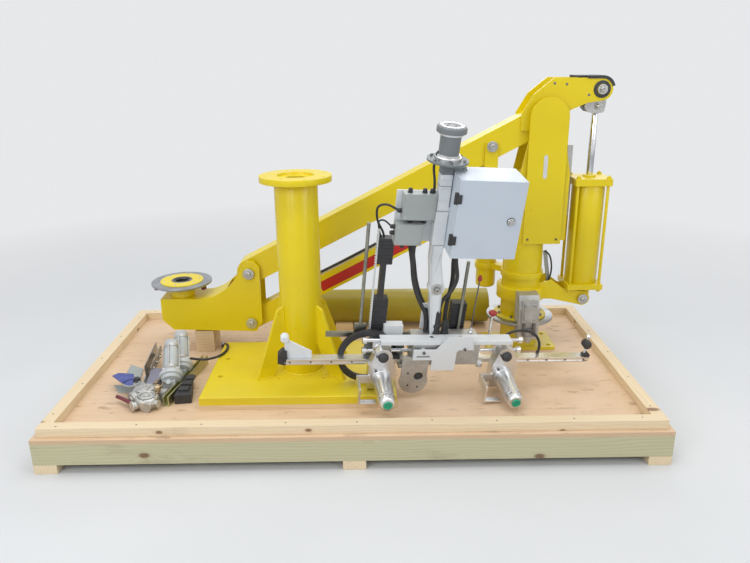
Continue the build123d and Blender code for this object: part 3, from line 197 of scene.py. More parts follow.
def sheet_wood(name, pale, dark, edge):
    """Plywood: face veneer with broad figure, marks, scrapes and pale patches, and plies on its edge."""
    made = Shader(name, roughness=0.6)
    warp = made.noise(1.4, 3, 0.5, (0.4, 1.2, 1))
    figure = made.noise(9, 5, 0.62, (0.28, 1.5, 1), distortion=1.6)
    fibre = made.noise(120, 3, 0.7, (0.05, 1, 1))
    tone = made.mix(made.span(figure, 0.38, 0.72, 0.0, 0.6), pale, dark)
    tone = made.mix(made.span(warp, 0.4, 0.7, 0.0, 0.4), tone, dark)
    tone = made.mix(made.span(fibre, 0.45, 0.8, 0.0, 0.3), tone, edge)
    marks = made.span(made.noise(5, 7, 0.7), 0.57, 0.70, 0.0, 0.45)
    tone = made.mix(marks, tone, (0.30, 0.19, 0.11))
    scrapes = made.span(made.noise(26, 5, 0.6, (0.35, 1.3, 1)), 0.61, 0.66, 0.0, 0.55)
    tone = made.mix(scrapes, tone, (0.26, 0.16, 0.09))
    tone = made.mix(made.span(made.noise(3.1, 4, 0.6), 0.50, 0.64, 0.0, 0.5), tone, (0.80, 0.60, 0.43))
    height = made.add("ShaderNodeSeparateXYZ", {"Vector": made.coords}).outputs["Z"]
    ply = made.math("SINE", made.math("MULTIPLY", height, 1750.0))
    normal = made.add("ShaderNodeNewGeometry").outputs["Normal"]
    upward = made.add("ShaderNodeSeparateXYZ", {"Vector": normal}).outputs["Z"]
    side = made.span(made.math("ABSOLUTE", upward), 0.3, 0.6, 1.0, 0.0)
    plies = made.mix(made.span(ply, -0.3, 0.6), pale, edge)
    made.colour(made.mix(side, tone, plies))
    made.bump(made.math("ADD", fibre, figure), 0.2, 0.0008)
    return made.material


YELLOW = paint("yellow paint", (0.79, 0.62, 0.002), (0.74, 0.57, 0.002), (0.42, 0.30, 0.02))
DUSTY_YELLOW = paint("dusty yellow paint", (0.77, 0.61, 0.008), (0.67, 0.53, 0.03), (0.42, 0.36, 0.18),
                     0.42, 0.8)
WHITE = paint("white powder paint", (0.74, 0.77, 0.79), (0.68, 0.71, 0.74), (0.35, 0.36, 0.36), 0.38, 0.3)
BOX_WHITE = paint("box paint", (0.56, 0.62, 0.69), (0.51, 0.57, 0.65), (0.40, 0.43, 0.46), 0.36, 0.2)
# Spare tube: dirty yellow, darkened further by painted shade because it lies in the arm's shadow.
DIRTY_SHADED_YELLOW = paint("dirty yellow paint with painted shade", (0.40, 0.32, 0.006), (0.30, 0.24, 0.015), (0.20, 0.16, 0.06),
                   0.45, 0.8)
LIGHT_GREY = paint("light grey paint", (0.38, 0.41, 0.40), (0.33, 0.36, 0.35), (0.25, 0.25, 0.25), 0.42, 0.35)
HUB_GREY = paint("hub grey paint", (0.20, 0.22, 0.23), (0.16, 0.175, 0.18), (0.14, 0.15, 0.15), 0.42, 0.35)
RED = paint("red band", (0.52, 0.020, 0.018), (0.44, 0.016, 0.015), (0.55, 0.28, 0.22), 0.4, 0.2)
STEEL = metal("zinc plated steel", (0.58, 0.58, 0.56), (0.40, 0.39, 0.37), 0.34)
DULL_ROD = metal("dull rod", (0.30, 0.30, 0.25), (0.20, 0.20, 0.17), 0.40)
DARK_STEEL = metal("dark steel", (0.25, 0.25, 0.26), (0.14, 0.14, 0.145), 0.42)
DISC_STEEL = metal("ground disc", (0.42, 0.44, 0.46), (0.30, 0.31, 0.33), 0.38)
ALUMINIUM = metal("machined aluminium", (0.78, 0.78, 0.78), (0.70, 0.71, 0.72), 0.30, strength=0.06)
CAST = metal("cast aluminium", (0.55, 0.55, 0.54), (0.42, 0.42, 0.41), 0.55, (3, 3, 3), 0.25)
LIGHT_CAST = metal("light cast aluminium", (0.64, 0.64, 0.62), (0.50, 0.50, 0.48), 0.45, (3, 3, 3), 0.1)
ANODISED = metal("violet grey block", (0.36, 0.35, 0.45), (0.28, 0.28, 0.35), 0.45)
CHROME = metal("polished rod", (0.82, 0.83, 0.85), (0.74, 0.75, 0.78), 0.13, (1, 1, 8), 0.04)
BRASS = metal("brass", (0.54, 0.43, 0.29), (0.44, 0.33, 0.22), 0.38)
GOLD_ZINC = metal("yellow passivated channel", (0.62, 0.60, 0.30), (0.50, 0.52, 0.34), 0.38)
BLACK = plastic("black plastic", (0.022, 0.022, 0.024), (0.045, 0.045, 0.048), 0.5)
RUBBER = plastic("black rubber hose", (0.020, 0.020, 0.021), (0.040, 0.040, 0.042), 0.55)
GREEN = plastic("green tip", (0.02, 0.34, 0.19), (0.03, 0.42, 0.26), 0.4)
BLUE = plastic("blue lever", (0.05, 0.07, 0.28), (0.09, 0.11, 0.36), 0.42)
KNOB_RED = plastic("red knob", (0.28, 0.016, 0.018), (0.36, 0.03, 0.03), 0.35)
MAROON = plastic("dark red handle", (0.12, 0.012, 0.028), (0.19, 0.03, 0.05), 0.35)
BOWL = plastic("filter bowl", (0.50, 0.53, 0.54), (0.43, 0.46, 0.47), 0.38)
NYLON = plastic("white nylon", (0.66, 0.67, 0.66), (0.54, 0.55, 0.54), 0.45)
PINE = timber("pale pine", (0.80, 0.66, 0.45), (0.68, 0.50, 0.29), (0.22, 0.11, 0.055))
BLOCK_PINE = timber("pine blocks", (0.76, 0.60, 0.38), (0.62, 0.44, 0.24), (0.2, 0.1, 0.05), loose=False)
GREEN_PINE = timber("sap pine", (0.54, 0.51, 0.33), (0.42, 0.37, 0.21), (0.17, 0.085, 0.045), 80.0, 4.5)
PLYWOOD = sheet_wood("plywood", (0.74, 0.55, 0.37), (0.64, 0.44, 0.27), (0.46, 0.29, 0.16))


# Geometry


def edge_points(sides, radius, start=0.0):
    """Corners of a regular outline."""
    step = 2 * pi / sides
    return [(radius * cos(start + step * i), radius * sin(start + step * i)) for i in range(sides)]


def rounded(width, height, radius, steps=4):
    """Outline of a rectangle with round corners, about its middle."""
    points = []
    for quarter, (right, up) in enumerate(((1, 1), (-1, 1), (-1, -1), (1, -1))):
        middle = (right * (width / 2 - radius), up * (height / 2 - radius))
        for step in range(steps + 1):
            angle = pi / 2 * (quarter + step / steps)
            points.append((middle[0] + radius * cos(angle), middle[1] + radius * sin(angle)))
    return points


def sector(inner, outer, first, last):
    """Outline of a part of a ring, between two angles in degrees."""
    angles = [radians(first + (last - first) * k / 16) for k in range(17)]
    return ([(outer * cos(a), outer * sin(a)) for a in angles]
            + [(inner * cos(a), inner * sin(a)) for a in reversed(angles)])


class Shape:
    """The mesh of one piece. Its parts are given in millimetres, in the axes of its place."""

    def __init__(self, place=ROW):
        self.mesh = bmesh.new()
        self.place = place

    def point(self, at):
        """A new point of the mesh."""
        return self.mesh.verts.new(self.place @ Vector(at))

    def circle(self, middle, side, other, radius, steps):
        """A row of points on a circle."""
        return [self.point(middle + side * x + other * y) for x, y in edge_points(steps, radius)]

    def wall(self, low, high, shift=0):
        """Faces between two rows of points. The second row starts shift points later."""
        count = len(low)
        for i in range(count):
            j = (i + 1) % count
            self.mesh.faces.new((low[i], low[j], high[(j + shift) % count], high[(i + shift) % count]))

    def ends(self, rows):
        """Faces on the first and the last row of points."""
        self.mesh.faces.new(rows[0][::-1])
        self.mesh.faces.new(rows[-1])

    def turn(self, at, axis, profile, steps, closed=False):
        """A solid of revolution. The profile's points are (distance along the axis, radius)."""
        axis = Vector(axis).normalized()
        side = axis.orthogonal().normalized()
        other = axis.cross(side)
        rows = [self.circle(Vector(at) + axis * along, side, other, radius, steps)
                for along, radius in profile]
        for low, high in zip(rows, rows[1:] + (rows[:1] if closed else [])):
            self.wall(low, high)
        if not closed:
            self.ends(rows)

    def ring(self, at, axis, inner, outer, low, high):
        """A flat ring with a square section."""
        self.turn(at, axis, [(low, inner), (high, inner), (high, outer), (low, outer)], 36, True)

    def prism(self, outline, at, depth, right=RIGHT, up=UP):
        """An outline on the plane of right and up, made depth thick towards right x up, here the front."""
        right, up = Vector(right), Vector(up)
        through = right.cross(up).normalized() * depth
        low = [self.point(Vector(at) + right * x + up * y) for x, y in outline]
        high = [self.point(Vector(at) + right * x + up * y + through) for x, y in outline]
        self.ends([low, high])
        self.wall(low, high)

    def slab(self, outline, at, thick):
        """A level outline, made thick upwards."""
        self.prism(outline, at, thick, RIGHT, BACK)

    def block(self, low, high):
        """A box between two corners."""
        outline = [(low[0], low[1]), (high[0], low[1]), (high[0], high[1]), (low[0], high[1])]
        self.slab(outline, (0, 0, low[2]), high[2] - low[2])

    def bar(self, start, end, width, height, up=UP):
        """A straight rectangular bar from one point to another."""
        start, end = Vector(start), Vector(end)
        along = (end - start).normalized()
        side = along.cross(Vector(up)).normalized()
        outline = rounded(width, height, min(width, height) * 0.12, 2)
        self.prism(outline, start, (end - start).length, side, along.cross(side))

    def screw(self, at, axis, size, kind):
        """A fastener that stands on a face: bolt with a washer, socket screw, flat screw or dome nut."""
        r = size / 2
        washer = [(-0.4, r * 2.1), (r * 0.3, r * 2.1)]
        if kind == "hex":
            self.turn(at, axis, washer, 20)
            self.turn(at, axis, [(0, r * 1.7), (r * 1.3, r * 1.7), (r * 1.5, r * 1.45)], 6)
        elif kind == "socket":
            self.turn(at, axis, [(-0.4, r * 1.5), (size * 0.85, r * 1.5), (size, r * 1.35),
                                 (size, r * 0.75), (size * 0.4, r * 0.72)], 16)
        elif kind == "flat":
            self.turn(at, axis, [(-0.4, r * 2), (r * 0.35, r * 1.7), (r * 0.35, r * 0.7),
                                 (0.1, r * 0.65)], 16)
        else:
            self.turn(at, axis, washer, 20)
            self.turn(at, axis, [(0, r * 1.75), (r * 1.2, r * 1.75)], 6)
            dome = [(r * (1.2 + 1.2 * sin(a)), r * 1.3 * cos(a)) for a in (0, 0.4, 0.8, 1.15, 1.45)]
            self.turn(at, axis, dome, 16)

    def bolt_circle(self, middle, z, count, radius, start, size, kind):
        """Screws around the middle of a level face."""
        for x, y in edge_points(count, radius, start):
            self.screw((middle[0] + x, middle[1] + y, z), UP, size, kind)

    def bead(self, points, radius, closed=False):
        """A weld: a rippled round bead along points."""
        points = [Vector(p) for p in points]
        count, sides = len(points), range(8)
        rows = []
        for i, middle in enumerate(points):
            before = points[i - 1] if closed or i else middle
            after = points[(i + 1) % count] if closed or i < count - 1 else middle
            along = (after - before).normalized()
            side = along.orthogonal().normalized()
            swell = radius * (1.0 + 0.16 * sin(i * 2.1))
            rows.append(self.circle(middle, side, along.cross(side), swell, len(sides)))
        for low, high in zip(rows, rows[1:] + (rows[:1] if closed else [])):
            twists = [sum((low[i].co - high[(i + s) % len(sides)].co).length for i in sides) for s in sides]
            self.wall(low, high, twists.index(min(twists)))
        if not closed:
            self.ends(rows)

    def weld_ring(self, at, radius, size):
        """A level ring of weld."""
        self.bead([(at[0] + x, at[1] + y, at[2]) for x, y in edge_points(120, radius)], size, True)

    def pipe(self, points, radius, steps):
        """A round rod, wire or short pipe along a smooth line through points."""
        points = [Vector(p) for p in points]
        points = [points[0] * 2 - points[1], *points, points[-1] * 2 - points[-2]]
        line, parts = [], 6
        for p0, p1, p2, p3 in zip(points, points[1:], points[2:], points[3:]):
            for t in [part / parts for part in range(parts)]:
                line.append(0.5 * (p1 * 2 + (p2 - p0) * t + (p0 * 2 - p1 * 5 + p2 * 4 - p3) * t * t
                                   + (p1 * 3 - p0 - p2 * 3 + p3) * t * t * t))
        line.append(points[-2])
        rows, side = [], None
        for before, middle, after in zip(line[:1] + line, line, line[1:] + line[-1:]):
            along = (after - before).normalized()
            side = along.orthogonal() if side is None else side - along * side.dot(along)
            side = side.normalized()
            rows.append(self.circle(middle, side, along.cross(side), radius, steps))
        for low, high in zip(rows, rows[1:]):
            self.wall(low, high)
        self.ends(rows)

    def make(self, name, material, slot=None, bevel=0.6, body="base"):
        """Ends the piece: one object that rides on a body."""
        bmesh.ops.recalc_face_normals(self.mesh, faces=self.mesh.faces)
        mesh = bpy.data.meshes.new(name)
        self.mesh.to_mesh(mesh)
        self.mesh.free()
        mesh.shade_smooth()
        mesh.set_sharp_from_angle(angle=radians(32))
        mesh.materials.append(material)
        add_piece(name, mesh, bevel, body)


def put(name, data):
    """A new object in the scene."""
    made = bpy.data.objects.new(name, data)
    scene.collection.objects.link(made)
    return made


def add_piece(name, data, bevel=0.0, body="base", stands_for=None):
    """An object that rides on a body, and stands in for a CAD node if one is named."""
    made = put(name, data)
    if bevel:
        soften(made, bevel)
    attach(made, body)
    if stands_for:
        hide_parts(stands_for)
    return made


def soften(made, width):
    """Rounds the sharp edges a little, so that they catch the light."""
    bevel = made.modifiers.new("edges", "BEVEL")
    bevel.width = width / 1000
    bevel.segments = 2
    bevel.limit_method = "ANGLE"
    bevel.angle_limit = radians(34)
    bevel.harden_normals = True


def boards(name, material, rows, stands_for):
    """Separate boards in one piece. Each of the rows is (low corner, high corner, index of the long axis)."""
    mesh = bmesh.new()
    layer = mesh.verts.layers.float_vector.new("grain")
    for low, high, long_axis in rows:
        heart = Vector((draw.uniform(-1, 1), draw.uniform(0.05, 0.12), draw.uniform(-0.10, -0.03)))
        middle = (Vector(low) + Vector(high)) / 2000
        corners = []
        for index in range(8):
            corner = Vector([(high if index >> k & 1 else low)[k] for k in range(3)]) / 1000
            vert = mesh.verts.new(corner)
            local = corner - middle
            order = [local[long_axis]] + [local[k] for k in range(3) if k != long_axis]
            vert[layer] = Vector(order) + heart
            corners.append(vert)
        for face in ((0, 2, 3, 1), (4, 5, 7, 6), (0, 1, 5, 4), (2, 6, 7, 3), (0, 4, 6, 2), (1, 3, 7, 5)):
            mesh.faces.new([corners[k] for k in face])
    data = bpy.data.meshes.new(name)
    mesh.to_mesh(data)
    mesh.free()
    data.materials.append(material)
    add_piece(name, data, bevel=1.4, stands_for=stands_for)


# Finish of the CAD nodes. The boards and the free hose below stand in for four of them.

FINISHES = {
    YELLOW: ["column_tube", "column_flange", "column_gussets", "slew_tube", "slew_brackets", "air_reservoir",
             "housing_cheeks", "housing_covers", "cylinder_barrel", "cylinder_heads", "upper_beam",
             "lever_plates", "lower_beam", "middle_link", "arm_head", "swivel_ring", "tie_rods"],
    DUSTY_YELLOW: ["column_base_plate", "arm_post"],
    # The spare tube's dirty yellow includes painted shade.
    DIRTY_SHADED_YELLOW: ["spare_tube"],
    DISC_STEEL: ["brake_disc", "swivel_disc"],
    CAST: ["tool_body", "brake_caliper", "flange_plate", "air_block", "air_valve"],
    STEEL: ["pivot_pins", "arm_pins", "head_pins", "lower_link_pin", "rod_yoke"],
    DULL_ROD: ["guide_rods"],
    CHROME: ["piston_rod", "slide_rods"],
    ALUMINIUM: ["tool_rail", "mandrel_blocks", "mandrels", "mandrel_shoes"],
    WHITE: ["tool_top_strip", "tool_panel", "tool_upright", "rail_handles"],
    BOX_WHITE: ["control_box", "box_door"],
    HUB_GREY: ["tool_hub"],
    LIGHT_GREY: ["valve_boxes"],
    BLACK: ["lever_guard", "drag_chains"],
    RUBBER: ["tool_hose", "rear_disc"],
    GOLD_ZINC: ["air_channel"],
    BOWL: ["air_filters"],
    PLYWOOD: ["pallet_deck"],
    BLOCK_PINE: ["timber_blocks", "pallet_runners", "pallet_frame", "pallet_rim"],
}
for finish, names in FINISHES.items():
    for node in [nodes[name] for name in names]:
        node.data.materials.clear()
        node.data.materials.append(finish)
        # Seams are closed and flat faces joined before the edges are rounded.
        weld = node.modifiers.new("weld", "WELD")
        weld.merge_threshold = 0.00002
        flat = node.modifiers.new("flat faces", "DECIMATE")
        flat.decimate_type = "DISSOLVE"
        flat.angle_limit = radians(0.4)
        soften(node, 1.0)

# Timber base: separate boards and the screws of the rim

HALF_LENGTH, HALF_DEPTH = 1220, 656
RUNNER_TOP, FRAME_TOP, DECK, RIM_TOP = 38, 127, 145, 183
RUNNER_HALF, BOARD_HALF, RIM_HALF = 44.5, 19, 25
RIM_X, RIM_Y = HALF_LENGTH - 45, HALF_DEPTH - 45
outer_x = HALF_LENGTH - RUNNER_HALF
runners = [((x - RUNNER_HALF, -HALF_DEPTH, 0), (x + RUNNER_HALF, HALF_DEPTH, RUNNER_TOP), 1)
           for x in (-outer_x, 0, outer_x)]
boards("runner_boards", PINE, runners, "pallet_runners")
last_x, skirt_y = HALF_LENGTH - BOARD_HALF, HALF_DEPTH - BOARD_HALF
inner_y = skirt_y - BOARD_HALF
framing = [((-HALF_LENGTH, y - BOARD_HALF, RUNNER_TOP), (HALF_LENGTH, y + BOARD_HALF, FRAME_TOP), 0)
           for y in (-skirt_y, skirt_y)]
framing += [((x - BOARD_HALF, -inner_y, RUNNER_TOP), (x + BOARD_HALF, inner_y, FRAME_TOP), 1)
            for x in (-last_x, -last_x / 2, 0, last_x / 2, last_x)]
boards("frame_boards", GREEN_PINE, framing, "pallet_frame")
end_x, side_y = RIM_X + RIM_HALF, RIM_Y - RIM_HALF
rim = [((-end_x, y - RIM_HALF, DECK), (end_x, y + RIM_HALF, RIM_TOP), 0) for y in (-RIM_Y, RIM_Y)]
rim += [((x - RIM_HALF, -side_y, DECK), (x + RIM_HALF, side_y, RIM_TOP), 1) for x in (-RIM_X, RIM_X)]
boards("rim_boards", PINE, rim, "pallet_rim")
nails = Shape()
nail = [(-1, 4), (0.3, 3.6)]
for x, y in product(range(-1120, 1200, 280), (-RIM_Y, RIM_Y)):
    nails.turn((x + draw.uniform(-20, 20), y + draw.uniform(-8, 8), RIM_TOP), UP, nail, 10)
for y, x in product(range(-520, 600, 260), (-RIM_X, RIM_X)):
    nails.turn((x + draw.uniform(-8, 8), y, RIM_TOP), UP, nail, 10)
nails.make("rim_screws", DARK_STEEL, bevel=0)

# Welds of the column and its gussets

COLUMN = (-230, -153)
COLUMN_RADIUS = 90
welds = Shape()
welds.weld_ring((*COLUMN, 202), COLUMN_RADIUS, 5)
welds.weld_ring((*COLUMN, 1025), COLUMN_RADIUS + 0.5, 5)
for angle in (36, 144, 216, 324):
    out = Vector((cos(radians(angle)), sin(radians(angle)), 0))
    side = Vector((-out.y, out.x, 0))
    for sign in (-1, 1):
        foot = Vector((*COLUMN, 0)) + side * sign * 6.5
        welds.bead([foot + out * r + Vector((0, 0, 201.5)) for r in range(152, 230, 5)], 3.2)
        welds.bead([foot + out * COLUMN_RADIUS + Vector((0, 0, z)) for z in range(335, 502, 5)], 3.2)
welds.make("column_welds", YELLOW, "yellow_paint", 0)

# Post and brake: screws, caliper, cable and welds

POST = (803, ARM_Y)
screws = Shape()
screws.bolt_circle(POST, 310, 8, 106, 0.2, 9, "socket")
screws.make("hub_screws", DARK_STEEL, bevel=0.3)
caliper = Shape()
caliper.block((768, 0, 330), (838, 12, 440))
caliper.block((776, -6, 345), (830, 1, 425))
for x, z in product((782, 824), (352, 418)):
    caliper.screw((x, -6, z), FRONT, 7, "socket")
caliper.turn((POST[0], 20, 262), DOWN, [(0, 17), (30, 17), (34, 13)], 24)
caliper.make("caliper_cover", CAST, "bare_aluminium", body="slewing_body")
jaws = Shape()
for x in (774, 820):
    jaws.block((x, -5, 266), (x + 12, 14, 330))
    jaws.screw((x + 6, -5, 282), FRONT, 6, "hex")
jaws.block((786, 0, 284), (820, 14, 300))
jaws.make("caliper_jaws", DARK_STEEL, "grey_steel", 0.5, "slewing_body")
loop = Shape()
loop.pipe([(902, 196, 624), (926, 190, 600), (938, 188, 550), (934, 188, 495), (912, 192, 446)], 4, 10)
loop.make("post_cable", RUBBER, "black_rubber", 0, "slewing_body")
foot_weld = Shape()
foot_weld.weld_ring((*POST, 161), 88, 4)
foot_weld.make("post_welds", DUSTY_YELLOW, "yellow_paint", 0)
tube_welds = Shape()
tube_welds.weld_ring((*POST, 838), 94, 4)
tube_welds.weld_ring((*POST, 457), 93, 3)
tube_welds.make("tube_welds", YELLOW, "yellow_paint", 0, "slewing_body")


def pin_bolts(shape, x, z, half_width, washer, bolt):
    """Washer and bolt on both ends of a pivot pin of the arm."""
    hexagon = [(4, bolt), (12, bolt), (14, bolt * 0.82), (14, bolt * 0.5), (8, bolt * 0.48)]
    for side in (-1, 1):
        at, axis = (x, ARM_Y + side * half_width, z), (0, side, 0)
        shape.turn(at, axis, [(-1, washer), (2.5, washer), (3.2, washer - 1)], 32)
        shape.turn(at, axis, [(2, bolt * 1.15), (5, bolt * 1.1)], 24)
        shape.turn(at, axis, hexagon, 6)


# Housing, cylinder and lever. The cylinder's axis also carries the eye of the lever.

CYLINDER = (1088.6, ARM_Y)
LINK_X = CYLINDER[0] - 469.2
EYE_Z = 1363
LEVER_HALF = 65
pins = Shape()
pin_bolts(pins, CYLINDER[0], 395, 70, 24, 11)
pins.make("housing_bolts", STEEL, "grey_steel", 0.3, "slewing_body")
strip = Shape()
strip.prism(rounded(18, 106, 9), (856, 113.5, 1032), 0.7)
strip.make("cover_strip", NYLON, "white_paint", 0, "slewing_body")
cover = Shape()
for side, x in product((-1, 1), (796, 928)):
    cover.screw((x, ARM_Y + side * 100, 700), (0, side, 0), 6, "socket")
cover.make("cover_screws", DARK_STEEL, "grey_steel", 0.2, "slewing_body")
rail = Shape()
rail.block((976, 204, 791), (1000, 210, 1118))
rail.block((940, 204, 800), (978, 210, 830))
rail.block((940, 204, 1040), (978, 210, 1070))
rail.make("housing_strip", STEEL, "grey_steel", body="slewing_body")
strip = Shape()
strip.bar((905, 200, 622), (934, 200, 446), 18, 7, BACK)
strip.make("tube_strip", LIGHT_GREY, "grey_paint", body="slewing_body")
nuts = Shape()
for x, y in product((CYLINDER[0] - 69, CYLINDER[0] + 69), (CYLINDER[1] - 69, CYLINDER[1] + 69)):
    nuts.screw((x, y, 972), UP, 12, "dome")
    nuts.screw((x, y, 445), DOWN, 12, "hex")
nuts.turn((*CYLINDER, 972), UP, [(-1, 30), (6, 30), (9, 26), (9, 15.6)], 32)
nuts.make("cylinder_nuts", YELLOW, "yellow_paint", 0.3, "slewing_body")
pins = Shape()
pin_bolts(pins, CYLINDER[0], EYE_Z, 75, 22, 12)
pin_bolts(pins, LINK_X, 1120.8, 78, 24, 12)
pins.make("arm_bolts", STEEL, "grey_steel", 0.3, "upper_arm")
cheek = Shape()
leaf = [(-16, 60), (-50, 20), (-56, 0), (-54, -13), (-41, -26), (-15, -33), (8, -32), (21, -26), (36, -8),
        (38, 26), (37, 44), (37, 60)]
for side in (-1, 1):
    cheek.prism(leaf, (1084, ARM_Y + side * 33.5 + 3, 1291), 6)
    cheek.screw((1084, ARM_Y + side * 36.5, 1290), (0, side, 0), 15, "dome")
cheek.make("yoke_cheeks", STEEL, "grey_steel", 0.8, "rod")
eye = Shape()
seal = [(-1, 37), (3, 37), (5, 34), (5, 24), (-1, 24)]
for side in (-1, 1):
    eye.turn((CYLINDER[0], ARM_Y + side * LEVER_HALF, EYE_Z), (0, side, 0), seal, 40)
eye.make("eye_rings", BLACK, "black_plastic", 0.3, "upper_arm")
band = Shape()
for y in (149, 282.5):
    band.prism(sector(45, 58, 90, 15), (CYLINDER[0], y, EYE_Z), 3.5)
    band.prism([(-86, 58), (0, 58), (0, 45), (-62, 45)], (CYLINDER[0], y, EYE_Z), 3.5)
band.make("guard_rims", BLACK, "black_plastic", 0.5, "upper_arm")
holes = Shape()
for (x, z), side in product(((880, 1389), (933, 1385), (1033, 1339)), (-1, 1)):
    holes.screw((x, ARM_Y + side * LEVER_HALF, z), (0, side, 0), 6, "flat")
holes.make("lever_screws", DARK_STEEL, "grey_steel", 0, "upper_arm")
pins = Shape()
pin_bolts(pins, LINK_X, 873.8, 78, 24, 12)
pins.make("lower_arm_bolts", STEEL, "grey_steel", 0.3, "lower_arm")
band = Shape(LOWER)
band.prism([(-1160, -30), (-680, -30), (-680, 17), (-1160, 17)], (0, -45, 0), 0.5)
band.make("red_band", RED, bevel=0, body="lower_arm")

# Air hoses of the head, clipped between the beams

lines = Shape(LOWER)
for y in (-34, -21):
    lines.pipe([(-560, y, 52), (-760, y, 56), (-1000, y, 54), (-1180, y, 56), (-1330, y, 54)], 5, 8)
lines.make("beam_hoses", RUBBER, "black_rubber", 0, "lower_arm")

# Head of the arm with its swivel ring

SWIVEL = (-834, ARM_Y)
head = Shape()
for z in (544.3, 297.3):
    pin_bolts(head, -497.6, z, 90, 26, 13)
head.make("head_bolts", STEEL, "grey_steel", 0.3, "head")
stops = Shape()
for angle in (radians(200), radians(340), radians(90)):
    foot = (SWIVEL[0] + 118 * cos(angle), SWIVEL[1] + 118 * sin(angle), 478.5)
    stops.turn(foot, DOWN, [(0, 13), (20, 13), (22, 11)], 20)
stops.make("swivel_stops", MAROON, bevel=0.4, body="swivel")
screws = Shape()
screws.bolt_circle(SWIVEL, 493, 6, 84, 0.4, 6, "flat")
screws.make("swivel_screws", STEEL, "grey_steel", 0.2, "swivel")
liner = Shape()
liner.turn((*SWIVEL, 430), UP, [(0, 49), (62, 49), (64.5, 47), (64.5, 38), (0, 38)], 44, True)
liner.ring((*SWIVEL, 486), UP, 30, 38.5, 0, 3)
liner.make("swivel_bearing", DARK_STEEL, "grey_steel", 0.4, "head")

# Lifting tool: screws, mandrels, and hinges and lock of the control box

MANDREL_X, MANDREL_V = 259, -50
screws = Shape(TOOL)
for x, v in ((-98, 79.8), (70, 95)):
    screws.screw((x, -60.5, v), FRONT, 8, "socket")
for x in (-60, 62):
    screws.screw((x, -10, 122.5), UP, 8, "flat")
for x, v in product((-MANDREL_X, MANDREL_X), (-12, 58)):
    screws.screw((x - 26, -50.5, v), FRONT, 7, "socket")
screws.make("tool_screws", DARK_STEEL, "grey_steel", 0.2)

for name, x in (("left_mandrel", -MANDREL_X), ("right_mandrel", MANDREL_X)):
    nose = Shape(TOOL)
    tip = (x, -222, MANDREL_V)
    nose.turn(tip, FRONT, [(-1, 30.6), (2, 30.2), (5, 28), (7, 24), (7, 19), (-1, 19)], 40, True)
    nose.turn((x, -50, MANDREL_V), FRONT, [(0, 43), (10, 43), (12, 41.6), (12, 38), (0, 38)], 40, True)
    nose.turn((x, -182, MANDREL_V), FRONT, [(0, 34.2), (4, 34.6), (8, 34), (8, 32), (0, 32)], 40, True)
    nose.make(name + "_nose", ALUMINIUM, bevel=0.3)
    # Small dark discs round each nose: painted shade in its pits.
    pit_shade = Shape(TOOL)
    for angle in (0.5, 1.1, 2.0, 2.7, 3.8, 5.2):
        out = Vector((cos(angle), 0, sin(angle)))
        pit_shade.turn(Vector((x, -196, MANDREL_V)) + out * 33.2, out, [(-1, 2.6), (0.6, 2.6)], 12)
    pit_shade.make(name + "_pit_shade", DARK_STEEL, bevel=0)
    cap = Shape(TOOL)
    cap.turn(tip, FRONT, [(-1, 18.6), (8, 18.4), (10, 16.5), (10, 12), (6, 11), (6, 5), (9, 4.4), (9, 2)], 32)
    cap.make(name + "_tip", GREEN, bevel=0.3)

hinges = Shape(TOOL)
for v in (745, 584):
    hinges.turn((-60, -72, v - 21), UP, [(0, 8.5), (42, 8.5)], 20)
    hinges.block((-60, -84, v - 17), (-42, -79, v + 17))
hinges.make("box_hinges", BLACK, "black_plastic", 0.5)
lock = Shape(TOOL)
lock.turn((155, -79.5, 664), FRONT, [(0, 14), (5, 14), (7, 12), (7, 9), (13, 8), (14, 6)], 30)
lock.make("box_lock", STEEL, "grey_steel", 0.4, "door")

# Air unit: plates, body, bracket, bowl, solenoids, fittings, lever, filter trims, handle and hoses

ON_DECK = (0, 0, DECK - 0.5)
plates = Shape()
plates.slab([(-1046, -8), (-976, -53), (-958, -156), (-991, -150), (-1040, -80)], ON_DECK, 7)
plates.slab([(-1055, -211), (-1014, -278), (-950, -280), (-955, -225)], ON_DECK, 6)
plates.bar((-955, 165, 158), (-968, 50, 158), 5, 28)
plates.bar((-968, 52, 158), (-922, -205, 158), 5, 28)
plates.bar((-903, 62, 152), (-876, -62, 152), 5, 18)
plates.turn((-946, -292, 197), UP, [(-1, 34), (4, 34), (4, 28), (-1, 28)], 36, True)
plates.make("air_plates", LIGHT_GREY, "grey_paint")
body = Shape()
body.slab([(-884, -296), (-826, -279), (-852, -141), (-910, -139)], (0, 0, DECK + 3), 46)
body.block((-894, -150, 158), (-868, -118, 182))
body.make("air_body", ANODISED, "grey_paint", 2.0)
bracket = Shape()
bracket.bar((-930, -160, 184), (-942, 62, 206), 4, 62)
bracket.bar((-908, -150, 180), (-918, 30, 199), 4, 50)
bracket.bar((-936, 20, 184), (-912, 20, 184), 5, 22)
bracket.bar((-930, -110, 168), (-908, -110, 168), 40, 5)
for y in (-120, -60, 0):
    bracket.screw((-903 - (y + 150) * 0.055, y, 186), RIGHT, 8, "dome")
bracket.make("air_bracket", STEEL, "grey_steel", 0.5)
bowl = Shape()
tilt = (0.04, -0.06, 1)
belly = [(0, 27), (4, 37), (14, 45), (34, 48), (46, 47), (52, 43), (54, 36), (49, 33)]
bowl.turn((-850, -404, DECK), tilt, belly, 48)
bowl.ring((-848, -407, 193), tilt, 28, 33, 0, 9)
bowl.turn((-848, -407, 196), tilt, [(-2, 27), (1, 27), (2, 12), (8, 11), (9, 5)], 32)
bowl.turn((-884, -432, 168), (-0.75, -0.66, 0.1), [(0, 17), (14, 17), (16, 21), (22, 21), (23, 15)], 28)
bowl.turn((-812, -424, 172), (0.9, -0.4, 0.1), [(0, 14), (12, 14), (14, 17), (20, 17), (21, 9)], 6)
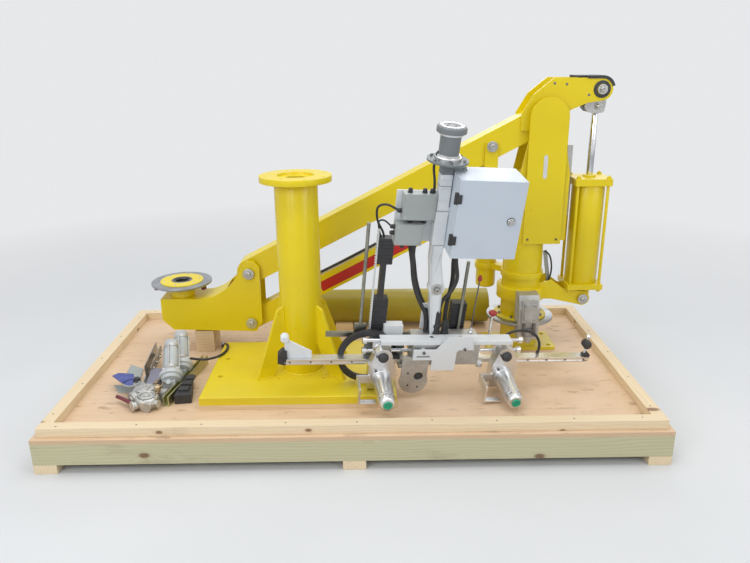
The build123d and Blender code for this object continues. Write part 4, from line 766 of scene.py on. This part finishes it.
bowl.turn((-828, -452, 175), (0.16, 0.98, 0), [(-4, 11), (10, 11), (12, 14), (26, 14), (28, 10)], 24)
bowl.bolt_circle((-848, -407), 197, 5, 40, 0.9, 5, "socket")
bowl.make("air_bowl", LIGHT_CAST, "bare_aluminium", 0.8)
blocks = Shape()
blocks.slab([(-716, -180), (-690, -292), (-676, -378), (-744, -386), (-742, -300), (-738, -233)], ON_DECK, 42)
for y in (-352, -300, -248):
    blocks.block((-736, y, 184), (-694, y + 34, 196))
blocks.turn((-930, -270, 190), UP, [(0, 16), (12, 16), (14, 13), (22, 13)], 24)
blocks.make("solenoid_block", BLACK, "black_plastic", 1.2)
brass = Shape()
brass.turn((-812, -372, 196), UP, [(0, 13), (10, 13), (14, 15), (26, 14), (32, 8)], 24)
brass.turn((-842, -308, 198), (0.05, 1, 0), [(0, 11), (16, 11), (18, 8), (34, 8)], 6)
brass.pipe([(-842, -276, 198), (-828, -262, 200), (-812, -286, 202), (-811, -340, 198)], 4, 10)
brass.make("air_fittings", BRASS, bevel=0.3)
lever = Shape()
blade = [(-1034, -196), (-964, -207), (-946, -262), (-936, -310), (-962, -318), (-1052, -222)]
lever.slab(blade, (0, 0, 196), 5)
lever.make("air_lever", BLUE, bevel=1.0)
trims = Shape()
heads = Shape()
filter_axis = Vector((-0.170, 0.837, 0.520))
across = filter_axis.orthogonal().normalized()
collar = [(-19, 46.5), (-13, 46.5), (-2, 40), (8, 33.5), (20, 33.5), (21, 30.1), (-19, 30.1)]
for foot in (Vector((-792.7, -231.3, 220)), Vector((-775, -128.8, 220))):
    trims.turn(foot, filter_axis, collar, 32, True)
    trims.turn(foot, filter_axis, [(118, 30.1), (118, 32), (132, 32), (132, 30.1)], 32, True)
    trims.turn(foot, filter_axis, [(153, 29), (157, 25), (158, 12), (160, 9), (167, 9), (168, 5)], 24)
    for angle in (0.6, 2.2, 3.8, 5.4):
        out = across * cos(angle) + filter_axis.cross(across) * sin(angle)
        trims.turn(foot + out * 36, filter_axis, [(-2, 3.2), (128, 3.2)], 10)
    heads.turn(foot, filter_axis, [(-12, 41), (-14, 50), (-31, 50), (-33, 43), (-47, 39), (-50, 22)], 36)
    x, y = foot.xy
    heads.block((x - 24, y - 62, DECK + 3), (x + 30, y + 8, 206))
    heads.turn((x + 3, y - 52, 196), (0.1, -0.86, 0.5), [(-4, 13), (14, 13), (16, 10), (24, 10)], 24)
heads.make("filter_heads", BOWL, "white_paint", 1.6)
VALVE = (-871.7, -347.6)
trims.turn((-660, 198, 153), (-0.25, 0.95, 0), [(0, 8), (22, 8), (24, 6), (36, 6)], 6)
trims.turn((*VALVE, 197), UP, [(-1, 40), (6, 40), (8, 36), (8, 22), (14, 20), (14, 8), (20, 7)], 40)
trims.turn((-903, -386, 176), (-0.64, -0.77, 0), [(0, 30), (14, 30), (18, 26), (18, 15), (24, 14)], 32)
trims.bolt_circle(VALVE, 203, 4, 31, 0.6, 6, "socket")
trims.make("air_trims", CAST, "bare_aluminium", 0.5)
handle = Shape()
handle.pipe([(-988, -358, 170), (-960, -378, 171), (-930, -402, 171), (-903, -424, 170)], 8, 16)
handle.make("air_handle", MAROON, bevel=0)
lines = Shape()
lines.pipe([(-905, -422, 170), (-880, -434, 171), (-846, -427, 176)], 4.5, 10)
filter_hose = [(-764, -102, 222), (-738, -90, 216), (-700, -88, 210), (-662, -78, 208), (-622, -40, 207),
               (-604, 20, 207), (-610, 78, 206), (-634, 130, 190), (-652, 170, 160), (-662, 205, 153)]
lines.pipe(filter_hose, 5.5, 12)
lines.make("air_lines", RUBBER, "black_rubber", 0)

# Hoses, glands and connectors that the tool holds. BOX_Y is the middle of the valve boxes' depth.


def gland(shape, at, axis, size):
    """A cable gland: hexagon foot, ring nut and a tapered mouth."""
    shape.turn(at, axis, [(-1, size * 1.25), (size * 0.6, size * 1.25)], 6)
    shape.turn(at, axis, [(size * 0.5, size * 1.05), (size * 1.5, size * 1.05), (size * 2.1, size * 0.8)], 20)


BOX_Y = 39
hoses = Shape(TOOL)
hoses.pipe([(-197, 70, 600), (-196, 88, 575), (-168, 92, 486), (-151, 92, 412), (-134, 92, 331),
            (-110, 88, 262), (-76, 72, 200), (-60, 45, 160), (-58, 42, 118)], 12, 14)
hoses.pipe([(8, 45, 513), (7, 66, 440), (20, 84, 333), (12, 84, 239), (6, 66, 178), (6, 45, 118)], 9, 12)
hoses.pipe([(-4, 20, 513), (9, 36, 440), (24, 40, 368), (10, 40, 313), (-24, 34, 267), (-36, 25, 226)], 8, 12)
hoses.pipe([(-114, 40, 722), (-118, 44, 770), (-126, 48, 820), (-122, 46, 868), (-112, 42, 884)], 5, 10)
hoses.pipe([(282, 52, 94), (318, 58, 106), (366, 60, 108), (410, 58, 92), (436, 52, 56), (438, 44, 20),
            (428, 34, 14)], 6, 10)
hoses.pipe([(-240, 39, 650), (-286, 50, 668), (-316, 68, 648), (-310, 86, 590), (-284, 93, 540),
            (-276, 93, 514)], 4.5, 10)
hoses.pipe([(-262, 39, 585), (-290, 50, 604), (-306, 72, 590), (-300, 88, 550), (-288, 93, 514)], 3.5, 10)
hoses.make("tool_hoses", RUBBER, "black_rubber", 0)
ends = Shape(TOOL)
for x, tall in ((-36, 108), (0, 60)):
    ends.turn((x, 25, 118), UP, [(-2, 17), (12, 17), (14, 14), (30, 14), (32, 17), (44, 17), (46, 13),
                                 (tall - 10, 13), (tall, 10)], 24)
for x, y in ((8, 45), (-4, 20), (60, 40), (110, 40)):
    gland(ends, (x, y, 512.5), DOWN, 10)
for x, v in ((-167, 517.5), (-215, 517.5), (-195, 619.8), (-140, 619.8)):
    gland(ends, (x, BOX_Y, v), DOWN, 9)
for x in (-205, -150, -122):
    gland(ends, (x, BOX_Y, 722.8), UP, 8)
for x, v in ((-251, 560), (-251, 585), (-230, 650)):
    gland(ends, (x, BOX_Y, v), LEFT, 8)
ends.turn((-58, 42, 117), UP, [(0, 18), (10, 18), (12, 15), (26, 15)], 24)
ends.turn((6, 45, 117), UP, [(0, 14), (16, 14), (18, 11), (26, 11)], 24)
ends.make("tool_connectors", BLACK, "black_plastic", 0.4)

# Valve boxes: lids and their screws

lids = Shape(TOOL)
screws = Shape(TOOL)
for middle, lid, reach in (((-168.2, 671.5), (120, 97), (51, 40)), ((-199.7, 560), (99, 80), (41, 32))):
    lids.prism(rounded(*lid, 6), (middle[0], 16.4, middle[1]), 2.4)
    for x, v in product((-reach[0], reach[0]), (-reach[1], reach[1])):
        screws.screw((middle[0] + x, 14, middle[1] + v), FRONT, 5, "flat")
lids.make("valve_box_lids", LIGHT_GREY, "grey_paint", 0.8)
screws.make("lid_screws", STEEL, "grey_steel", 0)

# Upright: joint bands, knee bolt and the hub's collar, recess and bolts

HUB = (-80, 40)
bands = Shape(TOOL)
for v, half in ((520, 24.6), (659, 24.6), (757, 22.7)):
    bands.slab(rounded(2 * half, 2 * half, 3), (*HUB, v - 2), 4)
bands.make("upright_bands", LIGHT_GREY, "grey_paint", 0.4)
knee = Shape(TOOL)
knee.turn((-59, 18, 328), FRONT, [(-1, 24), (2.5, 24), (3, 23), (3, 13), (-1, 13)], 36, True)
knee.screw((-59, 17, 328), FRONT, 14, "socket")
knee.make("knee_bolt", STEEL, "grey_steel", 0.3)
collar = Shape(TOOL)
outer = [(-0.3, 50), (10, 50), (12, 48), (12, 43), (20, 42), (20, 37), (-0.3, 37)]
collar.turn((*HUB, 855), UP, outer, 44, True)
collar.turn((*HUB, 953), DOWN, [(-0.5, 44), (8, 44), (9, 42), (9, 37), (-0.5, 37)], 44, True)
collar.turn((*HUB, 978), UP, [(-4, 43), (1.2, 43), (1.2, 33), (-4, 33)], 44, True)
collar.make("hub_rings", ALUMINIUM, "bare_aluminium", 0.4)
bolts = Shape(TOOL)
bolts.bolt_circle(HUB, 855, 6, 64, 0.5, 7, "socket")
bolts.bolt_circle(HUB, 978, 4, 20, 0.4, 6, "flat")
bolts.make("hub_bolts", DARK_STEEL, "grey_steel", 0.2)
tab = Shape(TOOL)
tab.block((-59, 32, 803), (-6, 38, 829))
tab.turn((-12, 35, 816), FRONT, [(-4, 9), (7, 9)], 20)
tab.make("hub_tab", LIGHT_GREY, "grey_paint", 0.5)

# Drag chains: links and the toothed strip

links = Shape(TOOL)
for v in [*range(84, 249, 15), *range(408, 513, 15)]:
    for x in (-294, -242):
        links.slab(rounded(11, 40, 5), (x, 93, v), 10)
    links.block((-296, 72.6, v + 2), (-244, 76, v + 8))
for v in range(84, 228, 16):
    links.block((31.5, 72.5, v), (38, 112.6, v + 10))
    links.block((90, 72.5, v), (96.5, 112.6, v + 10))
    links.block((38, 72.6, v + 2), (90, 76, v + 8))
links.make("chain_links", BLACK, "black_plastic")
strip = Shape(TOOL)
strip.block((-306, 70, 88), (-300.5, 73, 560))
for v in range(90, 558, 12):
    strip.block((-310, 70, v), (-306, 73, v + 6))
strip.make("toothed_strip", NYLON, "white_paint", 0.3)

# Plugs of the mandrel blocks, black discs of painted shade in the flange plate's holes, the round cover
# behind them and the upright's ribs

plugs_and_hole_shade = Shape(TOOL)
for x in (-MANDREL_X, MANDREL_X):
    plugs_and_hole_shade.turn((x, -30, 50), FRONT, [(0, 21.5), (24, 21.5), (30, 19), (36, 12), (38, 4)], 28)
# Black discs on the flange plate: painted shade standing in for its bore and three small holes.
plugs_and_hole_shade.turn((-105, -41.8, -43), FRONT, [(-6, 26), (0.2, 26)], 32)
for x, v in ((-150, -28), (-146, -88), (-104, -96)):
    plugs_and_hole_shade.turn((x, -49.6, v), FRONT, [(0, 4.5), (0.9, 4.5)], 16)
plugs_and_hole_shade.make("block_plugs_and_hole_shade", BLACK, "black_plastic", 0.3)
cover = Shape(TOOL)
cover.turn((-240, 52, 24), BACK, [(0, 84), (0.5, 86), (5, 86), (5.5, 84)], 56)
cover.make("round_cover", HUB_GREY, "grey_paint", 0.4)
ribs = Shape(TOOL)
left_edge = [(-60, 118), (-79, 296), (-100, 456), (-100, 520)]
right_edge = [(-33.5, 118), (-39, 358), (-60, 456), (-60, 520)]
for edge in (left_edge, right_edge):
    for (x0, v0), (x1, v1) in zip(edge, edge[1:]):
        ribs.bar((x0, 16.5, v0), (x1, 16.5, v1), 4.5, 5, BACK)
for v in (560, 610, 700, 745, 780):
    ribs.block((-101, 15.2, v), (-59, 18.4, v + 3))
ribs.make("upright_ribs", WHITE, "white_paint")

# Knobs and jaws at the ends of the rail, the stop with its rod, clamps, rail profile and brackets

knobs = Shape(TOOL)
knob = [(-19, 6), (-19, 13), (-16.5, 17), (-12, 19), (12, 19), (16.5, 17), (19, 13), (19, 6)]
knobs.turn((635, 15, 68), BACK, knob, 32)
knobs.prism([(-26, -22), (4, -30), (14, -16), (10, 34), (-6, 44), (-26, 22)], (-652, 26, 12), 26)
knobs.prism([(-10, -24), (16, -20), (22, 10), (8, 24), (-12, 12)], (636, 24, 8), 22)
knobs.turn((155, -79, 664), FRONT, [(-1, 16), (2, 16), (2, 14.5)], 30)
knobs.make("rail_knobs", BLACK, "black_plastic", 0.8)
ball = Shape(TOOL)
ball.turn((635, 15, 85), UP, [(0, 4), (10, 4), (12, 8), (16, 10.5), (21, 10.8), (26, 8.5), (29, 4)], 28)
ball.turn((112, 26, 117), UP, [(-2, 10), (10, 10), (12, 5), (30, 5)], 20)
ball.turn((196, 30, 91), UP, [(0, 5), (112, 5)], 16)
ball.make("chrome_ball", CHROME, "chrome_rod", 0.2)
rod = Shape(TOOL)
rod.pipe([(112, 26, 140), (113, 27, 250), (115, 28, 372)], 3, 8)
rod.make("stop_rod", DARK_STEEL, "grey_steel", 0)
stop = Shape(TOOL)
stop.turn((196, 30, 200), UP, [(0, 9), (5, 11), (8, 17), (15, 18), (20, 14), (22, 6)], 28)
stop.turn((115, 28, 362), UP, [(0, 6), (4, 9), (14, 9), (20, 7), (26, 3)], 20)
stop.make("stop_knob", KNOB_RED, bevel=0.2)
clamps = Shape(TOOL)
for x in (-172, 160):
    clamps.block((x - 13, -14, -26), (x + 13, 34, -8.3))
    clamps.block((x - 10, -14, 8.3), (x + 10, 34, 20))
    clamps.screw((x, -14, -17), FRONT, 8, "socket")
for side, v in product((-1, 1), (43, 91)):
    clamps.turn((side * 330, 15, v), (side, 0, 0), [(-8, 14), (8, 14), (9, 13), (9, 5)], 26)
clamps.make("rail_clamps", ALUMINIUM, "bare_aluminium")
profile = Shape(TOOL)
section = [(-4, -12.5), (34, -12.5), (34, -4), (30.5, -4), (30.5, 4), (34, 4), (34, 12.5), (-4, 12.5),
           (-4, 5), (-1, 5), (-1, -5), (-4, -5)]
for low, high in ((-645, -319), (319, 628)):
    profile.prism(section, (low, 0, 0), high - low, BACK)
profile.make("rail_profile", ALUMINIUM, "bare_aluminium")
# Dark discs on the rail's front face: painted shade in its holes.
holes = Shape(TOOL)
for x, side in product((378, 462, 546, 630), (-1, 1)):
    holes.turn((side * x, -4.2, 0), BACK, [(-0.2, 4), (0.4, 4)], 16)
holes.make("rail_hole_shade", DARK_STEEL, "grey_steel", 0)
boxes = Shape(TOOL)
boxes.block((-248, 50, 96), (-168, 92, 138))
boxes.block((-96, 66, 118), (-52, 72, 236))
boxes.make("tool_brackets", WHITE, "white_paint", 1.0)

# Free hose of the valve boxes, on the route of its CAD tube

route = [(-167, 517), (-167, 445), (-158, 373), (-139, 307), (-111, 247), (-79, 194), (-79, 118)]
line = bpy.data.curves.new("tool_hose_line", "CURVE")
line.dimensions = "3D"
line.bevel_depth = 0.008
line.bevel_resolution = 5
line.resolution_u = 16
line.use_fill_caps = True
spline = line.splines.new("NURBS")
spline.points.add(len(route) - 1)
for item, (x, v) in zip(spline.points, route):
    item.co = (*(TOOL @ Vector((x, BOX_Y, v))), 1.0)
spline.order_u = 3
spline.use_endpoint_u = True
line.materials.append(RUBBER)
hose = add_piece("valve_hose", line, stands_for="tool_hose")

# Floor, which fades into the backdrop

PALE = (0.80, 0.81, 0.82, 1.0)
floor = Shader("floor", roughness=0.8)
floor.colour(floor.mix(floor.span(floor.noise(0.8, 3), 0.3, 0.7), (0.66, 0.67, 0.68), (0.70, 0.71, 0.72)))
away = floor.add("ShaderNodeVectorMath", {0: floor.coords}, operation="LENGTH").outputs["Value"]
direct = floor.add("ShaderNodeLightPath").outputs["Is Camera Ray"]
seen_far = floor.math("MULTIPLY", floor.span(away, 1.8, 4.6), direct)
haze = floor.add("ShaderNodeEmission", {"Color": PALE, "Strength": 1.0})
blend = floor.add("ShaderNodeMixShader", {0: seen_far, 1: floor.surface.outputs[0], 2: haze.outputs[0]})
floor.tree.links.new(blend.outputs[0], floor.tree.nodes["Material Output"].inputs["Surface"])
mesh = bpy.data.meshes.new("floor")
mesh.from_pydata([(-25, -25, 0), (25, -25, 0), (25, 25, 0), (-25, 25, 0)], [], [(0, 1, 2, 3)])
mesh.materials.append(floor.material)
put("floor", mesh)

# Light: a soft dome, which shows as a plain backdrop, and four lamps

world = bpy.data.worlds.new("studio")
world.use_nodes = True
scene.world = world
tree = world.node_tree
tree.nodes.clear()
rays = add_node(tree, "ShaderNodeLightPath").outputs
seen = 0.0
for kind in ("Is Camera Ray", "Is Glossy Ray", "Is Transmission Ray"):
    seen = add_node(tree, "ShaderNodeMath", {0: seen, 1: rays[kind]}, operation="MAXIMUM").outputs[0]
dome = add_node(tree, "ShaderNodeBackground", {"Color": (0.93, 0.96, 1.0, 1.0), "Strength": 0.55}).outputs[0]
backdrop = add_node(tree, "ShaderNodeBackground", {"Color": PALE, "Strength": 1.0}).outputs[0]
choice = add_node(tree, "ShaderNodeMixShader", {0: seen, 1: dome, 2: backdrop}).outputs[0]
add_node(tree, "ShaderNodeOutputWorld", {0: choice})


def lamp(name, at, aim, size, power):
    """A rectangular lamp that aims at a point."""
    data = bpy.data.lights.new(name, "AREA")
    data.shape = "RECTANGLE"
    data.size, data.size_y = size
    data.energy = power
    made = put(name, data)
    made.location = at
    made.rotation_mode = "QUATERNION"
    made.rotation_quaternion = (Vector(aim) - Vector(at)).to_track_quat("-Z", "Y")


lamp("ceiling", (0, -0.4, 4.6), (0, 0.1, 0.5), (5.0, 3.6), 113)
lamp("front left", (-2.8, -4.2, 3.2), (0, 0, 0.7), (2.2, 1.8), 82)
lamp("front right", (3.4, -3.4, 2.6), (0.2, 0, 0.6), (1.8, 1.8), 32)
lamp("back", (1.5, 4.2, 3.0), (0, 0, 0.8), (3.0, 1.6), 42)

# Camera, fitted to the corners of the base in the photograph

EYE = (0.054, -2.898, 1.497)
FOCAL, PITCH, ROLL, YAW = 32.52, radians(18.23), radians(0.425), radians(0.745)
forward = Vector((sin(YAW) * cos(PITCH), cos(YAW) * cos(PITCH), -sin(PITCH)))
level = Vector((cos(YAW), -sin(YAW), 0))
down = forward.cross(level)
right = level * cos(ROLL) + down * sin(ROLL)
lower = down * cos(ROLL) - level * sin(ROLL)
turn = Matrix((right, -lower, -forward)).transposed()
camera = put("camera", bpy.data.cameras.new("camera"))
camera.data.lens = FOCAL
camera.data.sensor_width = 36.0
camera.matrix_world = Matrix.Translation(EYE) @ turn.to_4x4()
scene.camera = camera
scene.view_settings.view_transform = "Standard"
